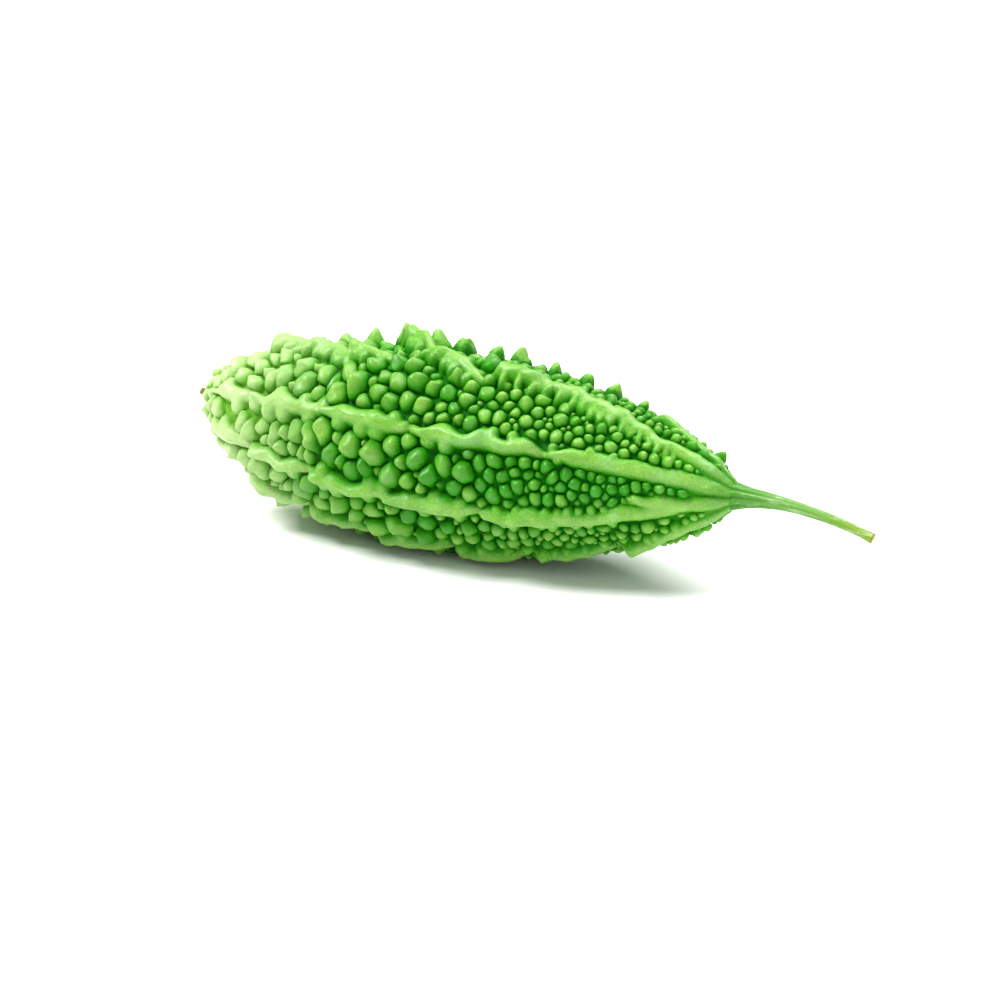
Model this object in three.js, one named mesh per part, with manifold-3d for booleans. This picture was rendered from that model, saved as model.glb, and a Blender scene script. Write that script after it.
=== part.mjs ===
// A bitter gourd lying on its side: a ridged, warty fruit, its stalk, and the dry scar
// where its flower fell off. Millimetres, +Z up, +X from the blossom tip to the stalk.
// The fruit is a spindle of skin. Rows of ridges run along it, broken into segments with a
// horn at the blossom side and a tail towards the stalk, with lobes fused to their flanks,
// and a row of cones runs along its top. Separate warts, large ones first and smaller ones in
// what is left, pack the strips between them and press against each other. All of that is
// one height over the skin, along its normal.
import * as THREE from "three";
import { mergeVertices } from "three/addons/utils/BufferGeometryUtils.js";
import Module from "manifold-3d";

// Driving dimensions of the fruit's skin, the surface between the warts.
const BODY_LENGTH = 127; // blossom tip to stalk joint
const BODY_RADIUS = 19.9;
const TIP_POWER = 0.55; // how blunt the blossom end is
const NECK_POWER = 0.62; // how blunt the stalk end is
const NECK_RADIUS = 2.3; // where the stalk takes over
const TIP_RISE = 4.5; // the blossom tip bends up by this much
const TIP_BEND_POWER = 8;
const REST_TRIM = 1.3; // how far its weight presses the lowest warts flat

// Ridges. from, to and horns are places along the fruit, 0 being the blossom tip and 1 the
// stalk joint; each horn starts a segment. angles are degrees above the horizontal on the -Y
// side, evenly spaced along the ridge. width is half its width, tail and horn are heights,
// fall is the length over which a horn drops to its tail, and tip is how blunt a horn starts,
// from 0 for pointed to 1. lobed is the share of its lobes that grew, and hang is how much
// larger the lower ones are.
const RIDGES = [
  // front, above the middle
  { from: 0, to: 1, angles: [34, 33, 29, 30, 31], width: 2.3, tail: 3.0, horn: 3.7, fall: 5.5,
    tip: 0.15, lobed: 0.5, hang: 1.1, horns: [0.05, 0.164, 0.31, 0.49, 0.727] },
  // front, near the top: slanting pieces, the last of them long
  { from: 0.03, to: 0.13, angles: [112, 104], width: 1.9, tail: 2.6, horn: 3.2, fall: 4,
    tip: 0.7, lobed: 0.6, hang: 1, horns: [0.04] },
  { from: 0.132, to: 0.32, angles: [101, 87, 78], width: 2.4, tail: 3.6, horn: 5.0, fall: 5,
    tip: 1, lobed: 0.7, hang: 1.2, horns: [0.132] },
  { from: 0.3, to: 0.4, angles: [82, 78], width: 1.9, tail: 2.6, horn: 4.4, fall: 3.5,
    tip: 0.8, lobed: 0.5, hang: 1.2, horns: [0.305] },
  { from: 0.377, to: 0.57, angles: [106, 86, 71], width: 2.3, tail: 3.2, horn: 5.3, fall: 6,
    tip: 1, lobed: 0.7, hang: 1.3, horns: [0.377] },
  { from: 0.588, to: 1, angles: [80, 80, 75, 67, 66], width: 2.3, tail: 3.1, horn: 4.7, fall: 6.5,
    tip: 1, lobed: 0.8, hang: 1.45, horns: [0.588] },
  // along the top, past the last of the cones
  { from: 0.85, to: 1, angles: [108, 106], width: 2.1, tail: 2.6, horn: 3.4, fall: 3,
    tip: 0.7, lobed: 0.6, hang: 1, horns: [0.855] },
  // back
  { from: 0, to: 1, angles: [186, 176, 162, 158, 156], width: 2.2, tail: 2.9, horn: 4.6, fall: 5,
    tip: 0.5, lobed: 0.6, hang: 1, horns: [0.06, 0.15, 0.29, 0.43, 0.55, 0.69, 0.83] },
  { from: 0, to: 1, angles: [222, 214, 205, 203, 203], width: 2.2, tail: 2.9, horn: 4.4, fall: 5.5,
    tip: 0.5, lobed: 0.6, hang: 1, horns: [0.05, 0.13, 0.24, 0.37, 0.5, 0.62, 0.78] },
  { from: 0, to: 1, angles: [262, 256, 250, 247, 248], width: 2.2, tail: 2.8, horn: 3.6, fall: 5.5,
    tip: 0.5, lobed: 0.6, hang: 1, horns: [0.08, 0.19, 0.33, 0.44, 0.61, 0.75] },
  // front, below the middle
  { from: 0, to: 0.82, angles: [316, 314, 308, 302, 304], width: 2.2, tail: 2.8, horn: 3.7, fall: 5,
    tip: 0.5, lobed: 0.6, hang: 1, horns: [0.05, 0.14, 0.27, 0.4, 0.55, 0.69] },
  { from: 0.84, to: 1, angles: [305, 312], width: 2.2, tail: 2.8, horn: 6.4, fall: 5,
    tip: 0.7, lobed: 0.6, hang: 1, horns: [0.84] },
  { from: 0, to: 0.94, angles: [352, 352, 346, 343, 350], width: 2.2, tail: 2.9, horn: 3.6, fall: 5,
    tip: 0.4, lobed: 0.6, hang: 1, horns: [0.06, 0.17, 0.3, 0.44, 0.62] },
  { from: 0.868, to: 1, angles: [361, 353], width: 2.1, tail: 2.8, horn: 3.4, fall: 5,
    tip: 0.3, lobed: 0.6, hang: 1, horns: [0.868] },
];
const SEGMENT_GAP = 0.016; // of the fruit's length, between a tail and the next horn
const HORN_FACE = 1.7; // length of a horn's steep side
const HORN_TIP = 1.4; // how round its tip is
const HORN_LENGTH = 4.5; // from its tip to where the ridge is at its full width
const HORN_SWELL = 0.22; // how much wider a ridge is at a blunt horn
const HORN_SPREAD = 2.6; // over this length
const TAIL_POINT = 7; // length of a tail's pointed end
const NECK_RIDGES = 8; // how many reach the stalk
const NECK_CROWDING = 0.9333; // how much of the neck they cover
const NECK_START = 0.96; // where they start to sink into the neck
const NECK_HEIGHT = 0.3; // the share of their height left at the stalk
const RIDGE_DOME = { power: 1.8, root: 0.75 }; // its cross-section, round-topped and steep

// The row of cones along the top: places along the fruit, and the angles of its path.
const CONES = [0.09, 0.14, 0.19, 0.245, 0.3, 0.36, 0.419, 0.469, 0.529, 0.578, 0.643, 0.7,
  0.755, 0.81];
const CONE_PATH = { from: 0, to: 1, angles: [150, 118, 115, 112, 106] };
const CONE_HALF = 2.5; // half its width
const CONE_HEIGHT = 4.9;

// Lobes, fused to the flanks of the ridges.
const LOBE_STEP = 4.6;
const LOBE_ALONG = 1.9; // half its size along the ridge
const LOBE_ACROSS = 2.3;
const LOBE_SHARE = 0.74; // of the ridge's height
const LOBE_END = 0.9; // no lobes past this place along the fruit
const LOBED_HEIGHT = 1.6; // of the lowest ridge that has lobes
const LOBE_BLEND = 0.9; // how softly a lobe runs into its ridge

// Warts, largest first: the least and greatest half-width at mid-fruit, how many places are
// tried, and how much room round it a new wart may leave.
const SEED = 20417;
const WART_CLASSES = [
  { from: 1.75, to: 2.2, tries: 20000, snug: 0.35 },
  { from: 1.35, to: 1.65, tries: 30000, snug: 0.4 },
];
const LEAST_WART = 0.78; // finer ones are left out
const WART_END = 0.955; // no warts past this place along the fruit
const WART_CLEARANCE = 0.98; // of the two half-widths, between neighbours
const RIDGE_FOOT = 0.85; // of a ridge's half-width, where warts may start
const LEAST_RIDGE = 0.5; // lower than this, a ridge doesn't keep warts away
const RIDGE_CLEARANCE = 0.72; // of a wart's half-width, beside a ridge
const GROWTH = 1.25; // the most that a wart swells into the room round it
const PRESS = 1.06; // how hard neighbours press together when they have swollen
const WART_REACH = 1.8; // how far a wart spreads, in half-widths, where nothing stops it
const WART_ROUNDNESS = 7; // how round it stays in the corners between its neighbours
const WART_DOME = { power: 2.8, root: 0.6 }; // its cross-section, a steep-sided dome
const CONE_DOME = { power: 1.5, root: 0.95 };
const BEAK = { radius: 2.1, height: 1.7 }; // the wart at the tip, which carries the scar
const FAR = 9; // no two warts this far apart can touch

// Stalk and scar.
const STALK_LENGTH = 30.5; // along X
const STALK_START_SLOPE = 0.06;
const STALK_DROOP = 0.0061; // per millimetre
const STALK_SIDE_BEND = 0.0016;
const STALK_ROOT_RADIUS = 2.3;
const STALK_RADIUS = 1.28; // past its root
const STALK_THINNING = 0.011; // per millimetre
const STALK_TAPER_LENGTH = 8;
const STALK_TAPER_POWER = 1.4;
const STALK_END_SWELL = 0.18;
const STALK_SWELL_LENGTH = 3;
const STALK_RIBS = [31, 66, 106, 156, 203, 248, 312, 353]; // in line with the ridges
const STALK_RIB_WIDTH = 0.3; // radians
const STALK_RIB_DEPTH = 0.14; // of the radius
const STALK_STEPS = 22;
const STALK_SIDES = 32;
const SCAR_RADIUS = 0.95;
const SCAR_LENGTH = 1.3;
const SCAR_SIDES = 9;
const JOINT_GAP = 0.3; // between separate pieces

// How finely the fruit is made, before it is reduced to the facets that its shape needs.
const PROFILE_STEPS = 800;
const GRID_ROWS = 340;
const GRID_COLUMNS = 300;
const FRUIT_FACETS = 11500;
const LEAST_SETTLED = 1e-3; // how far from parallel planes must be to settle on a point
const LEAST_TURN = 0.3; // cosine of the most that a facet may turn in one step
const EVENNESS = 3e-3; // how strongly long facets are avoided

const radians = THREE.MathUtils.degToRad;
const clamp = THREE.MathUtils.clamp;

/** Rises smoothly from 0 at a to 1 at b. */
function rise(a, b, value) {
  const share = clamp((value - a) / (b - a), 0, 1);
  return share * share * (3 - 2 * share);
}

/** A repeatable draw of numbers from 0 to 1. */
function draws(seed) {
  let state = seed;
  return () => (state = (state * 48271) % 2147483647) / 2147483647;
}

// ---- The skin -------------------------------------------------------------------

const widest = TIP_POWER / (TIP_POWER + NECK_POWER);
const widestShape = widest ** TIP_POWER * (1 - widest) ** NECK_POWER;

/** The skin's radius at t, from 0 at the blossom tip to 1 at the stalk joint. */
function skinRadius(t) {
  const spindle = (BODY_RADIUS * t ** TIP_POWER * (1 - t) ** NECK_POWER) / widestShape;
  return Math.hypot(spindle, NECK_RADIUS * t * t);
}

/** The radius halfway up the relief, at which widths and gaps round the fruit are measured. */
function workingRadius(t) {
  return skinRadius(t) + 1;
}

/** Height of the fruit's centre line at t. */
function centreLift(t) {
  return TIP_RISE * (1 - t) ** TIP_BEND_POWER;
}

/** A table of t and the length of the skin's profile from the tip to there. */
function measureProfile() {
  const table = [{ t: 0, arc: 0 }];
  for (let i = 1; i <= PROFILE_STEPS; i++) {
    const before = table[i - 1];
    const t = (1 - Math.cos((Math.PI * i) / PROFILE_STEPS)) / 2;
    const step = Math.hypot((t - before.t) * BODY_LENGTH, skinRadius(t) - skinRadius(before.t));
    table.push({ t, arc: before.arc + step });
  }
  return table;
}
const profile = measureProfile();
const profileLength = profile[PROFILE_STEPS].arc;

/** The t at a length along the skin's profile. */
function tAtArc(arc) {
  const row = Math.max(profile.findIndex((entry) => entry.arc >= arc), 1);
  const a = profile[row - 1];
  const b = profile[row];
  return a.t + ((b.t - a.t) * (arc - a.arc)) / (b.arc - a.arc);
}

/** The skin at t and angle: its point, outward normal, and directions along and across. */
function skinAt(t, angle) {
  const edge = 1e-4;
  const before = Math.max(t - edge, 0);
  const after = Math.min(t + edge, 1);
  const slope = (skinRadius(after) - skinRadius(before)) / ((after - before) * BODY_LENGTH);
  const tilt = Math.hypot(1, slope);
  const y = -Math.cos(angle);
  const z = Math.sin(angle);
  const radius = skinRadius(t);
  return {
    t,
    angle,
    point: new THREE.Vector3(t * BODY_LENGTH, radius * y, radius * z + centreLift(t)),
    normal: new THREE.Vector3(-slope / tilt, y / tilt, z / tilt),
    along: new THREE.Vector3(1 / tilt, (slope * y) / tilt, (slope * z) / tilt),
    across: new THREE.Vector3(0, z, -y),
  };
}

// ---- Ridges ---------------------------------------------------------------------

/** How tall ridges are at t, against mid-fruit: low at both ends. */
function ridgeScale(t) {
  return (0.35 + 0.65 * rise(0, 0.14, t)) * (1 - 0.74 * rise(0.62, 1, t));
}

/** How wide warts are at t, against mid-fruit: small at the tip and towards the stalk. */
function wartScale(t) {
  return (0.65 + 0.35 * rise(0, 0.12, t)) * (1 - 0.5 * rise(0.4, 0.85, t));
}

/** The angle of a ridge's crest at t, in radians. */
function ridgeAngle(ridge, t) {
  const spans = ridge.angles.length - 1;
  const place = clamp((t - ridge.from) / (ridge.to - ridge.from), 0, 1) * spans;
  const knot = Math.min(Math.floor(place), spans - 1);
  const share = spans > 1 ? rise(0, 1, place - knot) : place;
  return radians(ridge.angles[knot] + (ridge.angles[knot + 1] - ridge.angles[knot]) * share);
}

/** A ridge's crest height and half-width at t; both are 0 in the gaps between segments. */
function ridgeSection(ridge, t) {
  let height = 0;
  let point = 0;
  ridge.horns.forEach((horn, i) => {
    const last = i === ridge.horns.length - 1;
    const end = last ? ridge.to : ridge.horns[i + 1] - SEGMENT_GAP;
    const past = (t - horn) * BODY_LENGTH;
    const left = end === 1 ? TAIL_POINT : (end - t) * BODY_LENGTH;
    if (left <= 0) return;
    let crest = ridge.horn * Math.exp(-((past / HORN_FACE) ** 2));
    let taper = Math.exp(-((past / HORN_FACE) ** 2) / 2.5);
    if (past > 0) {
      // a segment ends in a point, except where it runs into the stalk
      const slope = Math.exp(-(Math.hypot(past, HORN_TIP) - HORN_TIP) / ridge.fall);
      taper = Math.sqrt(clamp(left / TAIL_POINT, 0, 1));
      crest = (ridge.tail + (ridge.horn - ridge.tail) * slope) * taper;
    }
    if (crest > height) {
      height = crest;
      const opening = ridge.tip + (1 - ridge.tip) * rise(0, HORN_LENGTH, past);
      const swell = HORN_SWELL * ridge.tip * Math.exp(-((past / HORN_SPREAD) ** 2));
      point = taper * opening + swell;
    }
  });
  const room = (NECK_CROWDING * Math.PI * skinRadius(t)) / NECK_RIDGES;
  const width = Math.min(ridge.width * (0.45 + 0.55 * rise(0, 0.12, t)), room);
  return { height: height * ridgeScale(t), width: width * (0.4 + 0.6 * point) };
}

/** The signed distance across the skin from a ridge's crest. */
function acrossRidge(ridge, t, angle) {
  const turn = angle - ridgeAngle(ridge, t);
  return Math.atan2(Math.sin(turn), Math.cos(turn)) * workingRadius(t);
}

/** A dome's share of its full height at a share of its half-width from the middle. */
function dome({ power, root }, off) {
  return off < 1 ? (1 - off ** power) ** root : 0;
}

/** The height of all ridges at a place on the skin, and its distance from the nearest foot. */
function ridgesAt(t, angle) {
  const neck = 1 - (1 - NECK_HEIGHT) * rise(NECK_START, 1, t);
  let best = 0;
  let foot = Infinity;
  for (const ridge of RIDGES) {
    const { height, width } = ridgeSection(ridge, t);
    const off = Math.abs(acrossRidge(ridge, t, angle));
    best = Math.max(best, height * neck * dome(RIDGE_DOME, off / width));
    if (height >= LEAST_RIDGE) foot = Math.min(foot, Math.max(off - width * RIDGE_FOOT, 0));
  }
  return { height: best, foot };
}

// ---- Warts ----------------------------------------------------------------------

/** A wart on the skin: half-sizes across and along, height, a small turn, and its kind. */
function makeWart(t, angle, halfAcross, halfAlong, height, turn, kind) {
  const place = skinAt(t, angle);
  const across = place.across.clone().multiplyScalar(Math.cos(turn));
  across.addScaledVector(place.along, Math.sin(turn));
  const along = place.along.clone().multiplyScalar(Math.cos(turn));
  along.addScaledVector(place.across, -Math.sin(turn));
  return { ...place, across, along, halfAcross, halfAlong, height, ...kind };
}

/** A wart's half-width in the direction of an offset from its centre. */
function reach(wart, offset) {
  const u = offset.dot(wart.across) / wart.halfAcross;
  const v = offset.dot(wart.along) / wart.halfAlong;
  return offset.length() / Math.max(Math.hypot(u, v), 1e-9);
}

/** The room left between a wart and the nearest other wart or ridge; negative if they meet. */
function roomRound(wart, warts) {
  let room = Infinity;
  for (const ridge of RIDGES) {
    const { height, width } = ridgeSection(ridge, wart.t);
    if (height < LEAST_RIDGE) continue;
    const taken = width * RIDGE_FOOT + wart.halfAcross * RIDGE_CLEARANCE;
    room = Math.min(room, Math.abs(acrossRidge(ridge, wart.t, wart.angle)) - taken);
  }
  const offset = new THREE.Vector3();
  for (const other of warts) {
    if (room < 0) break;
    offset.subVectors(other.point, wart.point);
    if (offset.length() > FAR) continue;
    const taken = (reach(wart, offset) + reach(other, offset)) * WART_CLEARANCE;
    room = Math.min(room, offset.length() - taken);
  }
  return room;
}

/** Adds the lobes on both flanks of one ridge. */
function addLobes(ridge, draw, warts) {
  for (const side of [-1, 1]) {
    const hang = side < 0 ? ridge.hang : 1;
    let t = ridge.horns[0] + (0.4 + draw() * 0.6) * (LOBE_STEP / BODY_LENGTH);
    while (t < LOBE_END) {
      const { height, width } = ridgeSection(ridge, t);
      const scale = wartScale(t);
      const size = 0.7 + 0.5 * draw();
      const grew = draw() < ridge.lobed;
      const turn = side * (draw() - 0.5) * 0.7;
      if (height > LOBED_HEIGHT && grew) {
        const angle = ridgeAngle(ridge, t) + (side * width * 0.8) / workingRadius(t);
        const across = LOBE_ACROSS * hang * scale * size;
        const along = LOBE_ALONG * hang * scale * (0.85 + 0.3 * size);
        const lobeHeight = height * LOBE_SHARE * (0.8 + 0.25 * size);
        warts.push(makeWart(t, angle, across, along, lobeHeight, turn, { fused: true }));
      }
      t += (LOBE_STEP * hang * scale * (0.6 + 0.7 * draw())) / BODY_LENGTH;
    }
  }
}

/** Adds the cones along the top. */
function addCones(draw, warts) {
  for (const t of CONES) {
    const size = (0.85 + 0.3 * draw()) * (1 - 0.42 * rise(0.5, 0.85, t));
    const half = CONE_HALF * size * (0.7 + 0.3 * rise(0, 0.2, t));
    const angle = ridgeAngle(CONE_PATH, t) + radians(8 * (draw() - 0.5));
    const height = CONE_HEIGHT * size * (0.5 + 0.5 * rise(0, 0.2, t));
    warts.push(makeWart(t, angle, half, half, height, 0, { fixed: true, cone: true }));
  }
}

/** Fills the strips between ridges: each class of wart fits snugly into the room left. */
function addWarts({ from, to, tries, snug }, draw, warts) {
  for (let i = 0; i < tries; i++) {
    const t = tAtArc(draw() * profileLength);
    const keep = draw() * BODY_RADIUS < skinRadius(t);
    const angle = draw() * 2 * Math.PI;
    // towards the blossom end they grow as fingers that lie across the fruit
    const finger = rise(0.45, 0.28, t);
    const halfAlong = (from + (to - from) * draw()) * wartScale(t) * (1 - 0.22 * finger);
    const halfAcross = halfAlong * (1 + draw() * (0.15 + 0.95 * finger));
    const height = halfAlong * (1.15 + 0.3 * draw()) * (1 + 0.12 * finger);
    const turn = (draw() - 0.5) * 0.9;
    if (!keep || t > WART_END || halfAlong < LEAST_WART) continue;
    const wart = makeWart(t, angle, halfAcross, halfAlong, height, turn, {});
    const room = roomRound(wart, warts);
    if (room >= 0 && room <= snug) warts.push(wart);
  }
}

/** Lets a wart swell until it presses on a neighbour or has grown by GROWTH. */
function swell(wart, warts) {
  const offset = new THREE.Vector3();
  let growth = GROWTH;
  for (const other of warts) {
    offset.subVectors(other.point, wart.point);
    if (other === wart || offset.length() > FAR) continue;
    const room = offset.length() * PRESS - reach(other, offset);
    growth = Math.min(growth, room / reach(wart, offset));
  }
  growth = Math.max(growth, 1);
  wart.halfAcross *= growth;
  wart.halfAlong *= growth;
  wart.height *= growth;
}

const beak = makeWart(0, 0, BEAK.radius, BEAK.radius, BEAK.height, 0, { fixed: true });

/** Every wart and lobe on the fruit. */
function placeWarts() {
  const draw = draws(SEED);
  const warts = [beak];
  for (const ridge of RIDGES) addLobes(ridge, draw, warts);
  addCones(draw, warts);
  for (const size of WART_CLASSES) addWarts(size, draw, warts);
  for (const wart of warts) if (!wart.fused && !wart.fixed) swell(wart, warts);
  return warts;
}

// Warts listed by the slices of the fruit they can reach, so that a place looks at few of them.
const SLICE = 6;
const slices = new Map();
for (const wart of placeWarts()) {
  const home = Math.floor(wart.point.x / SLICE);
  for (const slice of [home - 1, home, home + 1]) {
    if (!slices.has(slice)) slices.set(slice, []);
    slices.get(slice).push(wart);
  }
}

/** The larger of two heights, with a soft seam between them. */
function softMax(a, b, blend) {
  const share = Math.max(blend - Math.abs(a - b), 0) / blend;
  return Math.max(a, b) + (share * share * blend) / 4;
}

/**
 * The height of a wart at a place. It fills the room it has: first and second are the
 * distances to it and to the next wart, in their half-widths, and foot is the distance to the
 * nearest ridge in millimetres.
 */
function pressedHeight(wart, first, second, foot) {
  const beside = foot / Math.sqrt(wart.halfAcross * wart.halfAlong);
  const sides = [
    first / WART_REACH,
    (2 * first) / (first + second),
    first / Math.max(first + beside, 1e-9),
  ];
  const sum = sides.reduce((total, side) => total + side ** WART_ROUNDNESS, 0);
  return wart.height * dome(wart.cone ? CONE_DOME : WART_DOME, sum ** (1 / WART_ROUNDNESS));
}

/** The height of ridges, lobes and warts over the skin at a place. */
function reliefAt(place) {
  const ridges = ridgesAt(place.t, place.angle);
  let ridge = ridges.height;
  let nearest = null;
  let first = Infinity;
  let second = Infinity;
  const offset = new THREE.Vector3();
  for (const wart of slices.get(Math.floor(place.point.x / SLICE)) ?? []) {
    if (wart.normal.dot(place.normal) < 0) continue; // it is on the far side of the fruit
    offset.subVectors(place.point, wart.point);
    const u = offset.dot(wart.across) / wart.halfAcross;
    const v = offset.dot(wart.along) / wart.halfAlong;
    const off = Math.hypot(u, v);
    if (wart.fused) {
      if (off < 1) ridge = softMax(ridge, wart.height * dome(WART_DOME, off), LOBE_BLEND);
    } else if (off < first) {
      second = first;
      first = off;
      nearest = wart;
    } else {
      second = Math.min(second, off);
    }
  }
  const separate = nearest ? pressedHeight(nearest, first, second, ridges.foot) : 0;
  return Math.max(ridge, separate);
}

// ---- Reducing a surface to the facets that its shape needs --------------------------

/** Entries in order of their cost, the lowest first. */
class Queue {
  entries = [];

  /** Adds an entry, then lets it rise past those that cost more. */
  push(entry) {
    const { entries } = this;
    let place = entries.length;
    while (place > 0) {
      const above = (place - 1) >> 1;
      if (entries[above].cost <= entry.cost) break;
      entries[place] = entries[above];
      place = above;
    }
    entries[place] = entry;
  }

  /** Takes out the entry of least cost. */
  pop() {
    const { entries } = this;
    const lowest = entries[0];
    const last = entries.pop();
    if (!entries.length) return lowest;
    let place = 0;
    for (let below = 1; below < entries.length; below = 2 * place + 1) {
      const beside = entries[below + 1];
      if (beside && beside.cost < entries[below].cost) below++;
      if (last.cost <= entries[below].cost) break;
      entries[place] = entries[below];
      place = below;
    }
    entries[place] = last;
    return lowest;
  }
}

/** The summed squares of a point's distances from the planes of facets. */
class Misfit {
  // the ten products of a plane's x, y, z and offset with each other
  terms = new Float64Array(10);

  /** Adds a plane, weighed by its facet's area. */
  addPlane(normal, offset, area) {
    const plane = [normal.x, normal.y, normal.z, offset];
    let term = 0;
    for (let i = 0; i < 4; i++) {
      for (let j = i; j < 4; j++) this.terms[term++] += area * plane[i] * plane[j];
    }
  }

  /** Adds all the planes of another. */
  add(other) {
    other.terms.forEach((value, i) => (this.terms[i] += value));
  }

  /** The misfit at a point. */
  at({ x, y, z }) {
    const [xx, xy, xz, x1, yy, yz, y1, zz, z1, one] = this.terms;
    const squares = xx * x * x + yy * y * y + zz * z * z + one;
    return squares + 2 * (xy * x * y + xz * x * z + yz * y * z + x1 * x + y1 * y + z1 * z);
  }

  /** The point of least misfit, or null where the planes don't settle one. */
  bestPoint() {
    const [xx, xy, xz, x1, yy, yz, y1, zz, z1] = this.terms;
    const matrix = new THREE.Matrix3(xx, xy, xz, xy, yy, yz, xz, yz, zz);
    const scale = (xx + yy + zz) / 3;
    if (matrix.determinant() < LEAST_SETTLED * scale ** 3) return null;
    return new THREE.Vector3(-x1, -y1, -z1).applyMatrix3(matrix.invert());
  }
}

/** A closed surface whose edges are merged away, the least missed first. */
class Reduction {
  constructor(points, facets) {
    this.points = points;
    this.facets = facets;
    this.count = facets.length;
    this.around = points.map(() => new Set());
    this.misfits = points.map(() => new Misfit());
    this.merges = points.map(() => 0);
    this.queue = new Queue();
    facets.forEach((facet, i) => {
      const normal = this.normalOf(facet);
      const area = normal.length() / 2;
      normal.normalize();
      const offset = -normal.dot(points[facet[0]]);
      for (const corner of facet) {
        this.around[corner].add(i);
        this.misfits[corner].addPlane(normal, offset, area);
      }
    });
    for (const [a, b, c] of facets) {
      for (const [from, to] of [[a, b], [b, c], [c, a]]) if (from < to) this.offer(from, to);
    }
  }

  /** A facet's normal, as long as twice its area, with a corner moved if one is given. */
  normalOf(facet, corner, moved) {
    const [a, b, c] = facet.map((each) => (each === corner ? moved : this.points[each]));
    return b.clone().sub(a).cross(c.clone().sub(a));
  }

  /** The corners that share an edge with this one. */
  neighbours(corner) {
    const near = new Set();
    for (const i of this.around[corner]) this.facets[i].forEach((each) => near.add(each));
    near.delete(corner);
    return near;
  }

  /** Puts an edge in the queue, with the point that its two ends would merge into. */
  offer(a, b) {
    const misfit = new Misfit();
    misfit.add(this.misfits[a]);
    misfit.add(this.misfits[b]);
    const middle = this.points[a].clone().lerp(this.points[b], 0.5);
    const length = this.points[a].distanceTo(this.points[b]);
    let point = misfit.bestPoint();
    if (!point || point.distanceTo(middle) > length) {
      const choices = [middle, this.points[a].clone(), this.points[b].clone()];
      point = choices.reduce((best, next) => (misfit.at(next) < misfit.at(best) ? next : best));
    }
    // a small share for length keeps the facets of flat places even
    const cost = Math.max(misfit.at(point), 0) + EVENNESS * length ** 4;
    this.queue.push({ cost, a, b, point, merges: this.merges[a] + this.merges[b] });
  }

  /** Whether two ends can merge at a point with no facet folding over and no edge doubled. */
  canMerge(a, b, point) {
    const nearB = this.neighbours(b);
    const shared = [...this.neighbours(a)].filter((corner) => nearB.has(corner));
    if (shared.length !== 2) return false;
    for (const corner of [a, b]) {
      for (const i of this.around[corner]) {
        const facet = this.facets[i];
        if (facet.includes(a) && facet.includes(b)) continue;
        const before = this.normalOf(facet);
        const after = this.normalOf(facet, corner, point);
        if (before.dot(after) < LEAST_TURN * before.length() * after.length()) return false;
      }
    }
    return true;
  }

  /** Merges two ends of an edge into one at a point, and takes out the facets between. */
  merge(a, b, point) {
    for (const i of this.around[b]) {
      const facet = this.facets[i];
      if (facet.includes(a)) {
        for (const corner of facet) if (corner !== b) this.around[corner].delete(i);
        this.facets[i] = null;
        this.count--;
      } else {
        facet[facet.indexOf(b)] = a;
        this.around[a].add(i);
      }
    }
    this.around[b] = null;
    this.points[a] = point;
    this.misfits[a].add(this.misfits[b]);
    this.merges[a] += this.merges[b] + 1;
    for (const corner of this.neighbours(a)) this.offer(a, corner);
  }

  /** Merges edges until only so many facets are left. */
  reduceTo(wanted) {
    while (this.count > wanted && this.queue.entries.length) {
      const { a, b, point, merges } = this.queue.pop();
      if (!this.around[a] || !this.around[b]) continue;
      if (this.merges[a] + this.merges[b] !== merges || !this.canMerge(a, b, point)) continue;
      this.merge(a, b, point);
    }
  }

  /** What is left, as a geometry. */
  geometry() {
    const corners = this.facets.filter((facet) => facet).flat();
    const geometry = new THREE.BufferGeometry();
    const numbers = corners.flatMap((corner) => this.points[corner].toArray());
    geometry.setAttribute("position", new THREE.Float32BufferAttribute(numbers, 3));
    return mergeVertices(geometry, 1e-6);
  }
}

// ---- The fruit's solid ------------------------------------------------------------

/** The fruit's surface as a fine grid of raised points and its facets, closed at both ends. */
function fineGrid() {
  const points = [];
  for (let row = 1; row <= GRID_ROWS; row++) {
    const t = tAtArc((row * profileLength) / GRID_ROWS);
    for (let column = 0; column < GRID_COLUMNS; column++) {
      const place = skinAt(t, (column * 2 * Math.PI) / GRID_COLUMNS);
      points.push(place.point.addScaledVector(place.normal, reliefAt(place)));
    }
  }
  const tip = points.length;
  const neck = tip + 1;
  points.push(beak.point.clone().addScaledVector(beak.normal, beak.height));
  points.push(new THREE.Vector3(BODY_LENGTH, 0, centreLift(1)));
  const facets = [];
  for (let column = 0; column < GRID_COLUMNS; column++) {
    const beside = (column + 1) % GRID_COLUMNS;
    const lastRow = (GRID_ROWS - 1) * GRID_COLUMNS;
    facets.push([tip, column, beside], [neck, lastRow + beside, lastRow + column]);
    for (let start = 0; start < lastRow; start += GRID_COLUMNS) {
      const a = start + column;
      const b = start + beside;
      facets.push([a, a + GRID_COLUMNS, b + GRID_COLUMNS], [a, b + GRID_COLUMNS, b]);
    }
  }
  return { points, facets };
}

/** The fruit's closed surface, with only the facets that its shape needs. */
function fruitGeometry() {
  const { points, facets } = fineGrid();
  const reduction = new Reduction(points, facets);
  reduction.reduceTo(FRUIT_FACETS);
  return reduction.geometry();
}

// ---- Stalk and scar ---------------------------------------------------------------

/** The stalk's radius at a distance along X. */
function stalkRadius(x) {
  const taper = Math.exp(-((x / STALK_TAPER_LENGTH) ** STALK_TAPER_POWER));
  const swell = STALK_END_SWELL * rise(STALK_LENGTH - STALK_SWELL_LENGTH, STALK_LENGTH, x);
  const past = STALK_RADIUS - STALK_THINNING * x;
  return past + (STALK_ROOT_RADIUS - past) * taper + swell;
}

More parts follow.
